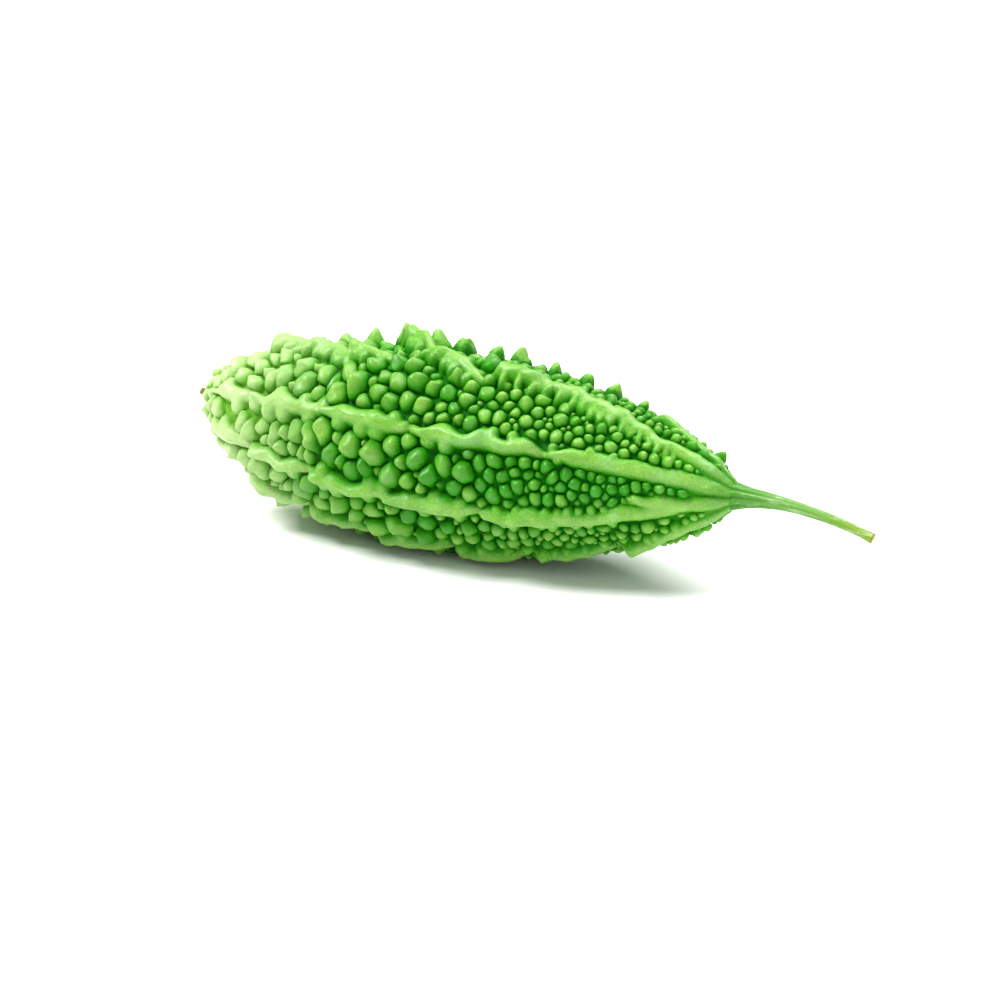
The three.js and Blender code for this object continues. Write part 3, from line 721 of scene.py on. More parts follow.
@dataclass(frozen=True)
class Growth:
    """The rule by which warts and lobes grow, large ones first.

    Attributes:
        seed: What every place and size is drawn from.
        lobe_step: From one lobe to the next along a ridge.
        lobe_along: Half a lobe's size along the ridge.
        lobe_across: Half its size across.
        lobe_share: Its height, as a share of the ridge's.
        lobe_out: How far out on the flank it sits, in half-widths of the ridge.
        lobe_end: No lobes past this place along the fruit.
        lobed_height: The height of the lowest ridge that has lobes.
        drip_hang: How heavy a ridge has to hang to have drips.
        drip_step: From one drip to the next.
        drip_along: Half a drip's size along the ridge.
        drip_across: Half its size across, where it hangs most.
        drip_light: What is taken off a ridge's hang for the width of its drips.
        drip_out: How far out on the flank they start, in half-widths of the ridge.
        drip_ends: How far drips stay off both ends of the ridge.
        drip_end: No drips past this place along the fruit.
        cones: Where the cones stand.
        cone_angles: The angles of their row in degrees, evenly spaced.
        cone_half: Half a cone's width.
        cone_height: Its height.
        classes: The warts that the part has too.
        least: The least half-width of those that is kept.
        end: Where they end along the fruit.
        fillers: The finer warts between them.
        filler_least: The least half-width of those.
        filler_coarser: How much more that is at the blossom end.
        filler_end: Where they end along the fruit.
    """

    seed: int = 20417
    lobe_step: float = 4.6
    lobe_along: float = 1.9
    lobe_across: float = 2.3
    lobe_share: float = 0.74
    lobe_out: float = 0.8
    lobe_end: float = 0.9
    lobed_height: float = 1.6
    drip_hang: float = 1.2
    drip_step: float = 3.1
    drip_along: float = 1.4
    drip_across: float = 2.5
    drip_light: float = 0.4
    drip_out: float = 0.7
    drip_ends: float = 0.012
    drip_end: float = 0.93
    cones: tuple[float, ...] = (
        0.09, 0.14, 0.19, 0.245, 0.3, 0.36, 0.419, 0.469, 0.529, 0.578, 0.643, 0.7, 0.755, 0.81,
    )
    cone_angles: tuple[float, ...] = (150, 118, 115, 112, 106)
    cone_half: float = 2.5
    cone_height: float = 4.9
    classes: tuple[WartClass, ...] = (
        WartClass(1.75, 2.2, 20000, 0.35),
        WartClass(1.35, 1.65, 30000, 0.4),
    )
    least: float = 0.78
    end: float = 0.955
    fillers: tuple[WartClass, ...] = (
        WartClass(1.0, 1.3, 16000, 9.0),
        WartClass(0.75, 0.95, 16000, 9.0),
    )
    filler_least: float = 0.45
    filler_coarser: float = 1.2
    filler_end: float = 0.972

    def lobes(self, ridge: Ridge, draw: Draws, packing: Packing) -> None:
        """Adds the lobes on both flanks of one ridge.

        Args:
            ridge: The ridge.
            draw: The numbers drawn.
            packing: Where the lobes are added.
        """
        for side in (-1, 1):
            hang = ridge.hang if side < 0 else 1.0
            t = ridge.horns[0] + draw.between(0.4, 1.0) * (self.lobe_step / BODY.length)
            while t < self.lobe_end:
                height, width = (float(value) for value in ridge.section(t))
                scale = float(WART.scale(t))
                size = draw.between(0.7, 1.2)
                grew = draw() < ridge.lobed
                turn = side * draw.between(-0.35, 0.35)
                if height > self.lobed_height and grew:
                    angle = float(ridge.angle_at(t))
                    angle += side * width * self.lobe_out / float(BODY.working_radius(t))
                    halves = (
                        self.lobe_across * hang * scale * size,
                        self.lobe_along * hang * scale * (0.85 + 0.3 * size),
                    )
                    tall = height * self.lobe_share * (0.8 + 0.25 * size)
                    packing.add(make_wart(t, angle, halves, tall, turn, fused=True))
                t += self.lobe_step * hang * scale * draw.between(0.6, 1.3) / BODY.length

    def drips(self, ridge: Ridge, draw: Draws) -> list[Wart]:
        """The drips that hang, close together, from the lower flank of one ridge.

        Args:
            ridge: The ridge.
            draw: The numbers drawn.

        Returns:
            The drips; there are none on a ridge that doesn't hang.
        """
        drips: list[Wart] = []
        t = ridge.horns[0] + self.drip_ends
        end = min(ridge.end, self.drip_end) - self.drip_ends
        while ridge.hang >= self.drip_hang and t < end:
            height, width = (float(value) for value in ridge.section(t))
            scale = float(1.0 - 0.4 * rise(0.55, 0.92, t))
            size = draw.between(0.8, 1.2) * scale
            wide = self.drip_across * (ridge.hang - self.drip_light) * size
            off = self.drip_out * width + wide * draw.between(0.25, 0.6)
            angle = float(ridge.angle_at(t)) - off / float(BODY.working_radius(t))
            halves = (wide, self.drip_along * scale * draw.between(0.8, 1.2))
            tall = height * draw.between(0.66, 0.9)
            turn = draw.between(-0.3, 0.3)
            drips.append(make_wart(t, angle, halves, tall, turn, fused=True))
            t += self.drip_step * scale * draw.between(0.8, 1.2) / BODY.length
        return drips

    def cone_row(self, draw: Draws, packing: Packing) -> None:
        """Adds the row of pointed warts along the top.

        Args:
            draw: The numbers drawn.
            packing: Where the cones are added.
        """
        path = Ridge(0, 1, self.cone_angles, 1, 1, 1, 1, 1, 0, 1, (0.0,))
        for t in self.cones:
            size = draw.between(0.85, 1.15) * (1.0 - 0.42 * rise(0.5, 0.85, t))
            half = self.cone_half * size * up_from(0.7, rise(0.0, 0.2, t))
            angle = float(path.angle_at(t)) + math.radians(draw.between(-4.0, 4.0))
            height = self.cone_height * size * up_from(0.5, rise(0.0, 0.2, t))
            packing.add(make_wart(t, angle, (half, half), height, 0.0, fixed=True, cone=True))

    def grow(self) -> Packing:
        """Grows the part's own warts and lobes, then the finer ones between them.

        Returns:
            The warts, the one at the tip first.
        """
        packing = Packing()
        draw = Draws(self.seed)
        beak = make_wart(0.0, 0.0, (BEAK_RADIUS, BEAK_RADIUS), BEAK_HEIGHT, 0.0, fixed=True)
        packing.add(beak)
        for ridge in RIDGES:
            self.lobes(ridge, draw, packing)
        self.cone_row(draw, packing)
        for size in self.classes:
            packing.fill(size, draw, self.least, self.end)
        packing.swell()
        own = len(packing.warts)
        draw = Draws(self.seed + 1)
        for size in self.fillers:
            packing.fill(size, draw, self.filler_least, self.filler_end, self.filler_coarser)
        packing.swell(own)
        log.info("warts and lobes: %d in the part, %d finer", own, len(packing.warts) - own)
        return packing


# ---- Meshes -------------------------------------------------------------------------


def new_object(name: str, data: bpy.types.ID) -> bpy.types.Object:
    """Puts a new object in the scene.

    Args:
        name: Its name.
        data: Its mesh, light or camera.

    Returns:
        The object.
    """
    made = bpy.data.objects.new(name, data)
    bpy.context.scene.collection.objects.link(made)
    return made


def triangle_count(piece: bpy.types.Object) -> int:
    """How many triangles a piece's faces come to."""
    return sum(len(face.vertices) - 2 for face in piece.data.polygons)


class Shell:
    """A closed mesh of rings about the X axis, rolled up from a flat grid.

    Attributes:
        weld: The distance, in metres, within which its seam and poles are welded.
    """

    weld = 1e-7

    def __init__(self, name: str, rings: int, columns: int) -> None:
        """Makes the flat grid, a column wider than the shell and with a row for each pole.

        Args:
            name: The piece's name.
            rings: How many rings lie between its two poles.
            columns: How many points lie on a ring.
        """
        self.rings = rings
        self.columns = columns
        self.mesh = bpy.data.meshes.new(name)
        bm = bmesh.new()
        bmesh.ops.create_grid(bm, x_segments=columns, y_segments=rings + 1, size=1.0)
        bm.to_mesh(self.mesh)
        bm.free()
        flat = np.empty(len(self.mesh.vertices) * 3, np.float32)
        self.mesh.vertices.foreach_get("co", flat)
        flat = (flat.reshape(-1, 3).astype(float) + 1.0) / 2.0
        self.row = np.rint(flat[:, 1] * (rings + 1)).astype(int)
        # columns run clockwise seen from the blossom end, so that faces point outwards
        self.column = np.rint((1.0 - flat[:, 0]) * columns).astype(int) % columns

    def angles(self) -> np.ndarray:
        """The angle of each column, in radians."""
        return np.arange(self.columns) * (2.0 * math.pi / self.columns)

    def listed(self, grid: np.ndarray, first: Any, last: Any) -> np.ndarray:
        """Puts values in the order of the mesh's vertices.

        Args:
            grid: The values on the rings, by ring and column.
            first: The value at the pole at the blossom end.
            last: The value at the other pole.

        Returns:
            The value of each vertex.
        """
        whole = np.empty((self.rings + 2,) + grid.shape[1:])
        whole[1:-1] = grid
        whole[0] = first
        whole[-1] = last
        return whole[self.row, self.column]

    def move(self, grid: np.ndarray, first: Any, last: Any) -> None:
        """Moves the vertices to points in millimetres of the fruit's own axes."""
        points = (self.listed(grid, first, last) + SHIFT) * MM
        self.mesh.vertices.foreach_set("co", points.ravel().astype(np.float32))

    def note(self, name: str, grid: np.ndarray, first: float, last: float) -> None:
        """Keeps one number at each vertex, for the finish."""
        data = self.mesh.attributes.new(name, "FLOAT", "POINT").data
        data.foreach_set("value", self.listed(grid, first, last).astype(np.float32))

    def piece(self) -> bpy.types.Object:
        """Closes the mesh's seam and poles.

        Returns:
            The mesh as a smooth piece in the scene.
        """
        bm = bmesh.new()
        bm.from_mesh(self.mesh)
        poles = (0, self.rings + 1)
        edge = [v for v, r, c in zip(bm.verts, self.row, self.column) if c == 0 or r in poles]
        bmesh.ops.remove_doubles(bm, verts=edge, dist=self.weld)
        bm.to_mesh(self.mesh)
        bm.free()
        self.mesh.polygons.foreach_set("use_smooth", [True] * len(self.mesh.polygons))
        return new_object(self.mesh.name, self.mesh)


def thin(piece: bpy.types.Object, triangles: int) -> None:
    """Reduces a piece's triangles, most where it is flattest.

    Args:
        piece: The piece.
        triangles: About how many triangles it keeps.
    """
    count = triangle_count(piece)
    if count <= triangles:
        return
    modifier = piece.modifiers.new("thin", "DECIMATE")
    modifier.ratio = triangles / count
    whole = piece.data
    shaped = piece.evaluated_get(bpy.context.evaluated_depsgraph_get())
    piece.data = bpy.data.meshes.new_from_object(shaped)
    piece.modifiers.clear()
    name = whole.name
    bpy.data.meshes.remove(whole)
    piece.data.name = name


# ---- Finishes -----------------------------------------------------------------------


class Socket:
    """A node's output; sums on it add Math nodes."""

    def __init__(self, paint: Paint, output: bpy.types.NodeSocket) -> None:
        """Wraps an output of a node in a paint's tree."""
        self.paint = paint
        self.output = output

    def math(self, operation: str, *values: Any) -> Socket:
        """A Math node on this and other values."""
        return self.paint.node("ShaderNodeMath", {"operation": operation}, (self, *values))

    def __add__(self, other: Any) -> Socket:
        """This plus another."""
        return self.math("ADD", other)

    __radd__ = __add__

    def __sub__(self, other: Any) -> Socket:
        """This minus another."""
        return self.math("SUBTRACT", other)

    def __rsub__(self, other: Any) -> Socket:
        """Another minus this."""
        return self.paint.node("ShaderNodeMath", {"operation": "SUBTRACT"}, (other, self))

    def __mul__(self, other: Any) -> Socket:
        """This times another."""
        return self.math("MULTIPLY", other)

    __rmul__ = __mul__

    def ramp(self, low: float, high: float) -> Socket:
        """Rises smoothly from 0 to 1.

        Args:
            low: What this is where the result is 0.
            high: What this is where the result is 1.

        Returns:
            The result.
        """
        settings = {"interpolation_type": "SMOOTHSTEP"}
        sockets = {"Value": self, "From Min": low, "From Max": high, "To Min": 0.0, "To Max": 1.0}
        return self.paint.node("ShaderNodeMapRange", settings, sockets)


# No stretch along any axis.
EVEN = (1.0, 1.0, 1.0)


class Paint:
    """A material's node tree, with one Principled shader."""

    def __init__(self, name: str, constants: Mapping[str, Any]) -> None:
        """Makes the material.

        Args:
            name: Its name.
            constants: What is the same all over the surface, by the shader's own sockets.
        """
        self.material = bpy.data.materials.new(name)
        self.material.use_nodes = True
        self.tree = self.material.node_tree
        self.shader = self.tree.nodes["Principled BSDF"]
        for socket, value in constants.items():
            self.shader.inputs[socket].default_value = value

    def node(
        self,
        kind: str,
        settings: Mapping[str, Any] | None = None,
        sockets: Mapping[Any, Any] | Sequence[Any] = (),
        output: Any = 0,
    ) -> Socket:
        """Adds a node.

        Args:
            kind: The node's type.
            settings: Its settings, which are set first.
            sockets: Values or links of its inputs, in order or by name or number.
            output: The output that is wanted, by name or number.

        Returns:
            That output.
        """
        node = self.tree.nodes.new(kind)
        for name, value in (settings or {}).items():
            setattr(node, name, value)
        pairs = sockets.items() if isinstance(sockets, Mapping) else enumerate(sockets)
        for key, value in pairs:
            if isinstance(value, Socket):
                self.tree.links.new(value.output, node.inputs[key])
            else:
                node.inputs[key].default_value = value
        return Socket(self, node.outputs[output])

    def feed(self, socket: str, value: Socket) -> None:
        """Links a value to one of the shader's own sockets."""
        self.tree.links.new(value.output, self.shader.inputs[socket])

    def noted(self, name: str) -> Socket:
        """A number that the piece keeps at each vertex."""
        return self.node("ShaderNodeAttribute", {"attribute_name": name}, output="Fac")

    def place(self, scale: tuple[float, float, float] = EVEN) -> Socket:
        """The place on the piece, in metres, stretched by a scale."""
        coordinates = self.node("ShaderNodeTexCoord", output="Object")
        return self.node("ShaderNodeMapping", sockets={"Vector": coordinates, "Scale": scale})

    def noise(
        self,
        scale: float,
        detail: float = 2.0,
        roughness: float = 0.5,
        stretch: tuple[float, float, float] = EVEN,
    ) -> Socket:
        """Adds noise.

        Args:
            scale: How many lumps it has to the metre.
            detail: How many finer layers it has.
            roughness: How strong those are.
            stretch: The scale along each axis.

        Returns:
            The noise, from 0 to 1.
        """
        sockets = {"Scale": scale, "Detail": detail, "Roughness": roughness}
        return self.node("ShaderNodeTexNoise", None, {"Vector": self.place(stretch), **sockets})

    def dots(self, scale: float) -> Socket:
        """The distance to the nearest of scattered dots, with a number of them to the metre."""
        sockets = {"Vector": self.place(), "Scale": scale, "Randomness": 1.0}
        return self.node("ShaderNodeTexVoronoi", {"feature": "F1"}, sockets, "Distance")

    def mix(self, factor: Any, a: Any, b: Any, blend: str = "MIX") -> Socket:
        """Colour a turned into colour b by a factor."""
        settings = {"data_type": "RGBA", "blend_type": blend, "clamp_factor": True}
        return self.node("ShaderNodeMix", settings, {0: factor, 6: a, 7: b}, 2)

    def bump(self, height: Socket, strength: float, distance: float) -> None:
        """Gives the shader small relief from a height."""
        sockets = {"Height": height, "Strength": strength, "Distance": distance}
        self.feed("Normal", self.node("ShaderNodeBump", None, sockets, "Normal"))


@dataclass(frozen=True)
class SkinFinish:
    """The waxy green skin: painted shade between the warts, paler on ridges, and a paler
    blossom end, partly its own colour and partly painted light.

    Attributes:
        painted_crevice_shade: Painted shade between the warts, in the crevices.
        flank: Their sides.
        top: Their tops.
        crest: The paler crests of the ridges, also painted as light on the cones' tops.
        blossom: Whatever stands up at the blossom end, paler partly in its own colour and partly
            as painted light.
        tender_and_lit: The youngest skin there, likewise partly its own colour and partly painted
            light.
        painted_sheen: A painted bluish sheen, waxy-looking, on patches of the warts' tops.
        speck: The fine dots on the ridges.
        shade: Broad darker patches.
        deep_tone_and_shade: The warts of a deeper green, by chance, and painted shade on those
            low on the front towards the stalk.
        fresh: Fresh patches on the ridges.
        neck: The skin next to the stalk.
        speck_scale: How many specks there are to the metre.
        pore_scale: How many pores there are to the metre.
    """

    painted_crevice_shade: tuple[float, ...] = linear(0, 84, 0)
    flank: tuple[float, ...] = linear(46, 136, 0)
    top: tuple[float, ...] = linear(124, 173, 66)
    crest: tuple[float, ...] = linear(128, 176, 74)
    blossom: tuple[float, ...] = linear(184, 204, 148)
    tender_and_lit: tuple[float, ...] = linear(122, 180, 58)
    painted_sheen: tuple[float, ...] = linear(122, 182, 120)
    speck: tuple[float, ...] = linear(206, 228, 192)
    shade: tuple[float, ...] = linear(24, 112, 4)
    deep_tone_and_shade: tuple[float, ...] = linear(26, 124, 0)
    fresh: tuple[float, ...] = linear(82, 152, 12)
    neck: tuple[float, ...] = linear(84, 146, 46)
    speck_scale: float = 2900.0
    pore_scale: float = 1300.0

    def material(self) -> bpy.types.Material:
        """Paints the skin by the fruit's own height, ridge, tone and along numbers; the tone
        carries painted light and shade.

        Returns:
            The material.
        """
        constants = {
            "Subsurface Weight": 0.08,
            "Subsurface Radius": (0.35, 0.8, 0.15),
            "Subsurface Scale": 0.0012,
            "Specular IOR Level": 0.08,
            "Coat Roughness": 0.34,
        }
        paint = Paint("waxy_green_skin", constants)
        height = paint.noted("height")
        ridge = paint.noted("ridge")
        tint_light_and_shade = paint.noted("tint_light_and_shade")
        along = paint.noted("along")
        broad = paint.noise(70.0, 3.0)
        fine = paint.noise(900.0, 3.0, 0.6)
        mottle = paint.noise(1500.0, 4.0, 0.7)
        neck = along.ramp(0.84, 0.97)
        # the warts, from painted shade in the crevices up to their paler tops
        colour = paint.mix((height + 0.3 * neck).ramp(0.0, 0.62), self.painted_crevice_shade, self.flank)
        colour = paint.mix(height.ramp(0.45, 1.05) * (0.55 + 0.45 * tint_light_and_shade), colour, self.top)
        colour = paint.mix((broad - 0.35).ramp(0.0, 0.4) * 0.3, colour, self.shade)
        # a deeper green on some warts by chance, and painted shade on those low on the front
        # towards the stalk
        colour = paint.mix((0.4 - tint_light_and_shade).ramp(0.0, 0.5) * 0.7, colour, self.deep_tone_and_shade)
        # the ridges' paler crests, and painted light on the cones' tops
        crest = ridge.ramp(0.72, 1.0) * paint.noise(240.0, 4.0, 0.65).ramp(0.3, 0.66) * 0.7
        crest = crest * (1.0 - 0.5 * neck)
        colour = paint.mix(crest, colour, self.crest)
        patches = paint.noise(110.0, 3.0, 0.6).ramp(0.46, 0.64) * ridge.ramp(0.25, 0.7) * 0.5
        colour = paint.mix(patches, colour, self.fresh)
        # both ends
        colour = paint.mix(along.ramp(0.93, 1.0) * 0.65, colour, self.neck)
        # the blossom end is paler, partly in its own colour and partly as painted light
        young_and_lit = 1.0 - along.ramp(0.02, 0.36)
        colour = paint.mix(young_and_lit * 0.75, colour, self.tender_and_lit)
        colour = paint.mix(young_and_lit * height.ramp(0.2, 0.9) * 0.75, colour, self.blossom)
        # painted sheen, specks and pores
        sheen_patches = paint.noise(130.0, 2.0).ramp(0.56, 0.74) * height.ramp(0.6, 1.0) * 0.3
        colour = paint.mix(sheen_patches, colour, self.painted_sheen)
        specks = 1.0 - paint.dots(self.speck_scale).ramp(0.1, 0.45)
        specks = specks * ridge.ramp(0.3, 0.8) * 0.2
        colour = paint.mix(specks, colour, self.speck)
        pores = (1.0 - paint.dots(self.pore_scale).ramp(0.08, 0.3)) * height.ramp(0.3, 0.8)
        colour = paint.mix(1.0, colour, 0.72 + 0.56 * mottle - 0.16 * pores, "MULTIPLY")
        paint.feed("Base Color", colour)
        paint.feed("Roughness", 0.62 - 0.24 * height + 0.2 * (mottle - 0.5))
        paint.feed("Coat Weight", 0.45 * height.ramp(0.45, 1.0))
        streaks = paint.noise(700.0, 3.0, 0.6, (0.18, 1.0, 1.0)) * ridge
        relief = fine * 0.6 + mottle * 0.3 + streaks * 0.6 + specks * 0.4 - pores * 0.2
        paint.bump(relief, 0.4, 0.0004)
        return paint.material


@dataclass(frozen=True)
class StalkFinish:
    """The stalk: green at its root, pale striped along its middle, yellow at its cut end.

    Attributes:
        root: The colour where it leaves the fruit.
        middle: The colour along its middle.
        yellow: The colour near its cut end.
        stripe: Its fine pale stripes.
        groove: Between its ribs.
        pith: The middle of the cut.
        bark: The rim of the cut.
    """

    root: tuple[float, ...] = linear(64, 130, 20)
    middle: tuple[float, ...] = linear(96, 146, 58)
    yellow: tuple[float, ...] = linear(114, 146, 36)
    stripe: tuple[float, ...] = linear(180, 198, 164)
    groove: tuple[float, ...] = linear(36, 108, 10)
    pith: tuple[float, ...] = linear(214, 214, 150)
    bark: tuple[float, ...] = linear(128, 108, 52)

    def material(self) -> bpy.types.Material:
        """Paints the stalk by its own along, rib and cut numbers.

        Returns:
            The material.
        """
        constants = {
            "Subsurface Weight": 0.12,
            "Subsurface Radius": (0.4, 0.8, 0.2),
            "Subsurface Scale": 0.0012,
            "Specular IOR Level": 0.25,
        }
        paint = Paint("ribbed_stalk", constants)
        along = paint.noted("along")
        rib = paint.noted("rib")
        cut = paint.noted("cut")
        fine = paint.noise(1500.0, 4.0, 0.6, (0.12, 1.0, 1.0))
        spots = paint.noise(900.0, 3.0, 0.6)
        colour = paint.mix(along.ramp(0.0, 0.4), self.root, self.middle)
        colour = paint.mix(along.ramp(0.5, 0.95), colour, self.yellow)
        deep = (1.0 - rib).ramp(0.2, 0.85) * (0.9 - 0.5 * along.ramp(0.0, 0.35))
        colour = paint.mix(deep, colour, self.groove)
        streak = fine.ramp(0.5, 0.66) * (0.12 + 0.33 * along.ramp(0.0, 0.12))
        colour = paint.mix(streak, colour, self.stripe)
        colour = paint.mix(cut.ramp(0.25, 0.5), colour, self.bark)
        colour = paint.mix(cut.ramp(0.6, 0.85), colour, self.pith)
        colour = paint.mix(cut.ramp(0.7, 0.9) * spots.ramp(0.52, 0.66) * 0.6, colour, self.bark)
        paint.feed("Base Color", colour)
        paint.feed("Roughness", 0.5 + 0.2 * cut + 0.1 * (spots - 0.5))
        paint.bump(fine * 0.7 + spots * 0.3, 0.4, 0.0003)
        return paint.material


@dataclass(frozen=True)
class ScarFinish:
    """The shrunken flower scar: dry, grey-brown, with darker patches."""

    dry: tuple[float, ...] = linear(150, 130, 86)
    dark: tuple[float, ...] = linear(84, 66, 42)

    def material(self) -> bpy.types.Material:
        """Makes the finish.

        Returns:
            The material.
        """
        paint = Paint("dry_scar_tissue", {"Specular IOR Level": 0.2})
        lumps = paint.noise(1600.0, 4.0, 0.65)
        paint.feed("Base Color", paint.mix(lumps.ramp(0.38, 0.62), self.dark, self.dry))
        paint.feed("Roughness", 0.8 + 0.15 * (lumps - 0.5))
        paint.bump(lumps, 0.6, 0.0003)
        return paint.material


@dataclass(frozen=True)
class FloorFinish:
    """A plain pale floor with the faintest mottle."""

    pale: tuple[float, ...] = (0.93, 0.93, 0.92, 1.0)
    paler: tuple[float, ...] = (0.95, 0.95, 0.95, 1.0)

    def material(self) -> bpy.types.Material:
        """Makes the finish.

        Returns:
            The material.
        """
        paint = Paint("pale_floor", {"Specular IOR Level": 0.1})
        mottle = paint.noise(4.0, 2.0)
        paint.feed("Base Color", paint.mix(mottle, self.pale, self.paler))
        paint.feed("Roughness", 0.85 + 0.1 * (mottle - 0.5))
        return paint.material


# ---- The fruit ----------------------------------------------------------------------


@dataclass(frozen=True)
class Bulb:
    """How a wart bulges: it is widest part of the way up and narrows to its foot.

    Attributes:
        wrap: How far round its curve reaches from its top, in radians.
        width: How much of the room up to its neighbours it fills where it is widest.
        nib: How far the most pointed ones stand up, as a share of their height.
        merge: The height over a ridge's flank at which it is a full bulb, as a share.
        reach: How far it reaches where no neighbour stops it, in half-sizes.
        look: How far off its neighbours are looked for, in half-sizes.
        roundness: How far it fills the corners between its neighbours.
        squarer: How much further it does so at the blossom end.
        lean: How far it leans towards the blossom end, at that end of the fruit.
        lowest: The least share of its height that it grows to.
        highest: The largest share.
        nib_width: How wide the pointed ones' points are, as a share of the room.
        nib_sink: How much lower they are round the point.
        plain_nib: How pointed they are towards the stalk, against the blossom end.
        cone_wrap: How far a cone is rounded as a bulb is.
        uneven: How much its height varies from side to side.
        uneven_edge: How much of that its sides have.
        edge_lumps: The waves that its sides follow.
        top_lumps: The waves that its height follows.
    """

    wrap: float = math.radians(105.0)
    width: float = 0.985
    nib: float = 0.45
    merge: float = 0.35
    reach: float = 1.8
    look: float = 3.2
    roundness: float = 4.0
    squarer: float = 0.7
    lean: float = 0.4
    lowest: float = 0.88
    highest: float = 1.12
    nib_width: float = 0.5
    nib_sink: float = 0.4
    plain_nib: float = 0.35
    cone_wrap: float = 0.25
    uneven: float = 0.16
    uneven_edge: float = 0.5
    edge_lumps: Lumps = Lumps(907, 2.6)
    top_lumps: Lumps = Lumps(811, 2.6)

    @property
    def foot(self) -> float:
        """The half-width of a wart's foot, as a share of its room."""
        return self.width * math.sin(self.wrap)


@dataclass
class Fruit:
    """The fruit: skin, ridges, lobes and warts, all in one closed surface.

    Attributes:
        rings: Rings of the fine surface between its poles.
        columns: Points on each ring.
        triangles: What it is reduced to.
        far: Farther than any wart or ridge, in either measure.
        margin: How much wider than a wart the part of the grid is that it may touch.
        lobe_blend: How softly a lobe runs into its ridge, in millimetres.
        lobe_crest: How much of a crest a lobe's top is.
        neck_start: Where the ridges start to sink into the neck.
        neck_height: What is left of the ridges where the stalk takes over.
        calm_from: Where the ridges start to keep to their plain course.
        apart: How far apart the waves of two ridges are taken, in millimetres.
        swelling: How much a ridge's height comes and goes.
        widening: How much its width does.
        wander: How far its crest strays sideways, in millimetres.
        waver: The waves that its width and its straying follow, from the first ridge's.
        surge: The waves that its height follows, from the first ridge's.
        crest_bump: How far the crests are lumpy, in millimetres.
        crest_lumps: The waves that those lumps follow.
        skin_bump: How far all the skin is, in millimetres.
        skin_lumps: The waves that those lumps follow.
        plain_tint: The tint of what isn't a wart.
        shade_angle: Where round the fruit the painted shade on the warts is strongest, in
            degrees.
        shade_spread: How far round it is.
        shade_strength: How much darker it paints them there.
        ridge_dome: The cross-section of a ridge.
        lobe_dome: The cross-section of a lobe.
        cone_dome: The cross-section of a cone.
        bulb: How the other warts bulge.
        growth: The rule by which they all grow.
        finish: The finish of the skin.
        grid: Places all over the skin, by ring and column.
        height: How high the ridges and lobes are at each place.
        ridge: How much of a crest each place is, from 0 to 1, with painted light on the cones'
            tops.
        foot: The room between each place and the nearest ridge, in millimetres.
    """

    rings: int = 760
    columns: int = 640
    triangles: int = 196000
    far: float = 1e3
    margin: float = 1.15
    lobe_blend: float = 1.3
    lobe_crest: float = 0.85
    neck_start: float = 0.96
    neck_height: float = 0.3
    calm_from: float = 0.85
    apart: float = 40.0
    swelling: float = 0.14
    widening: float = 0.12
    wander: float = 0.4
    waver: Lumps = Lumps(601, 8.0)
    surge: Lumps = Lumps(701, 5.5)
    crest_bump: float = 0.16
    crest_lumps: Lumps = Lumps(311, 5.0)
    skin_bump: float = 0.05
    skin_lumps: Lumps = Lumps(97, 1.6)
    plain_tint: float = 0.5
    shade_angle: float = 12.0
    shade_spread: float = 17.0
    shade_strength: float = 0.9
    ridge_dome: Dome = Dome(2.2, 0.7)
    lobe_dome: Dome = Dome(2.4, 0.6)
    cone_dome: Dome = Dome(1.5, 0.9)
    bulb: Bulb = Bulb()
    growth: Growth = Growth()
    finish: SkinFinish = SkinFinish()
    grid: Places = field(init=False)
    height: np.ndarray = field(init=False)
    ridge: np.ndarray = field(init=False)
    foot: np.ndarray = field(init=False)

    def __post_init__(self) -> None:
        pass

    def raise_ridges(self) -> None:
        """Works out the ridges' height over the grid, their crests, and room beside them."""
        t = self.grid.t[:, 0]
        self.height = np.zeros_like(self.grid.t)
        self.ridge = np.zeros_like(self.grid.t)
        self.foot = np.full_like(self.grid.t, self.far)
        neck = 1.0 - (1.0 - self.neck_height) * rise(self.neck_start, 1.0, t)
        calm = rise(1.0, self.calm_from, t)
        for i, ridge in enumerate(RIDGES):
            height, width = ridge.section(t)
            aside = np.full_like(t, self.apart * i)
            path = np.stack([t * BODY.length, aside, np.zeros_like(t)], -1)
            waver = replace(self.waver, seed=self.waver.seed + i).at(path)
            surge = replace(self.surge, seed=self.surge.seed + i).at(path)
            height = height * (1.0 + self.swelling * calm * surge)
            width = width * (1.0 + self.widening * calm * waver)
            off = ridge.across(self.grid.t, self.grid.angle)
            off = np.abs(off - (self.wander * waver * calm)[:, None])
            share = self.ridge_dome.at(off / np.maximum(width, LEAST)[:, None])
            self.height = np.maximum(self.height, (height * neck)[:, None] * share)
            crest = share * rise(0.0, 0.35, height)[:, None]
            self.ridge = np.maximum(self.ridge, crest)
            room = np.maximum(off - (width * Packing.foot)[:, None], 0.0)
            room = np.where((height < Packing.least_ridge)[:, None], self.far, room)
            self.foot = np.minimum(self.foot, room)

    def window(self, wart: Wart, reach: float) -> tuple[np.ndarray, np.ndarray]:
        """Finds the block of the grid that a wart may touch.

        Args:
            wart: The wart.
            reach: How far it reaches, in half-sizes.

        Returns:
            The block's rings and columns.
        """
        half = max(wart.half_across, wart.half_along) * reach
        x = self.grid.t[:, 0] * BODY.length
        rows = np.flatnonzero(np.abs(x - wart.point[0]) <= half)
        ring = np.min(BODY.skin_radius(self.grid.t[rows, 0])) if len(rows) else 1.0
        span = math.pi if ring <= half else math.asin(half / ring) * self.margin
        turn = self.grid.angle[0] - wart.angle
        turn = np.abs(np.arctan2(np.sin(turn), np.cos(turn)))
        return np.ix_(rows, np.flatnonzero(turn <= span))

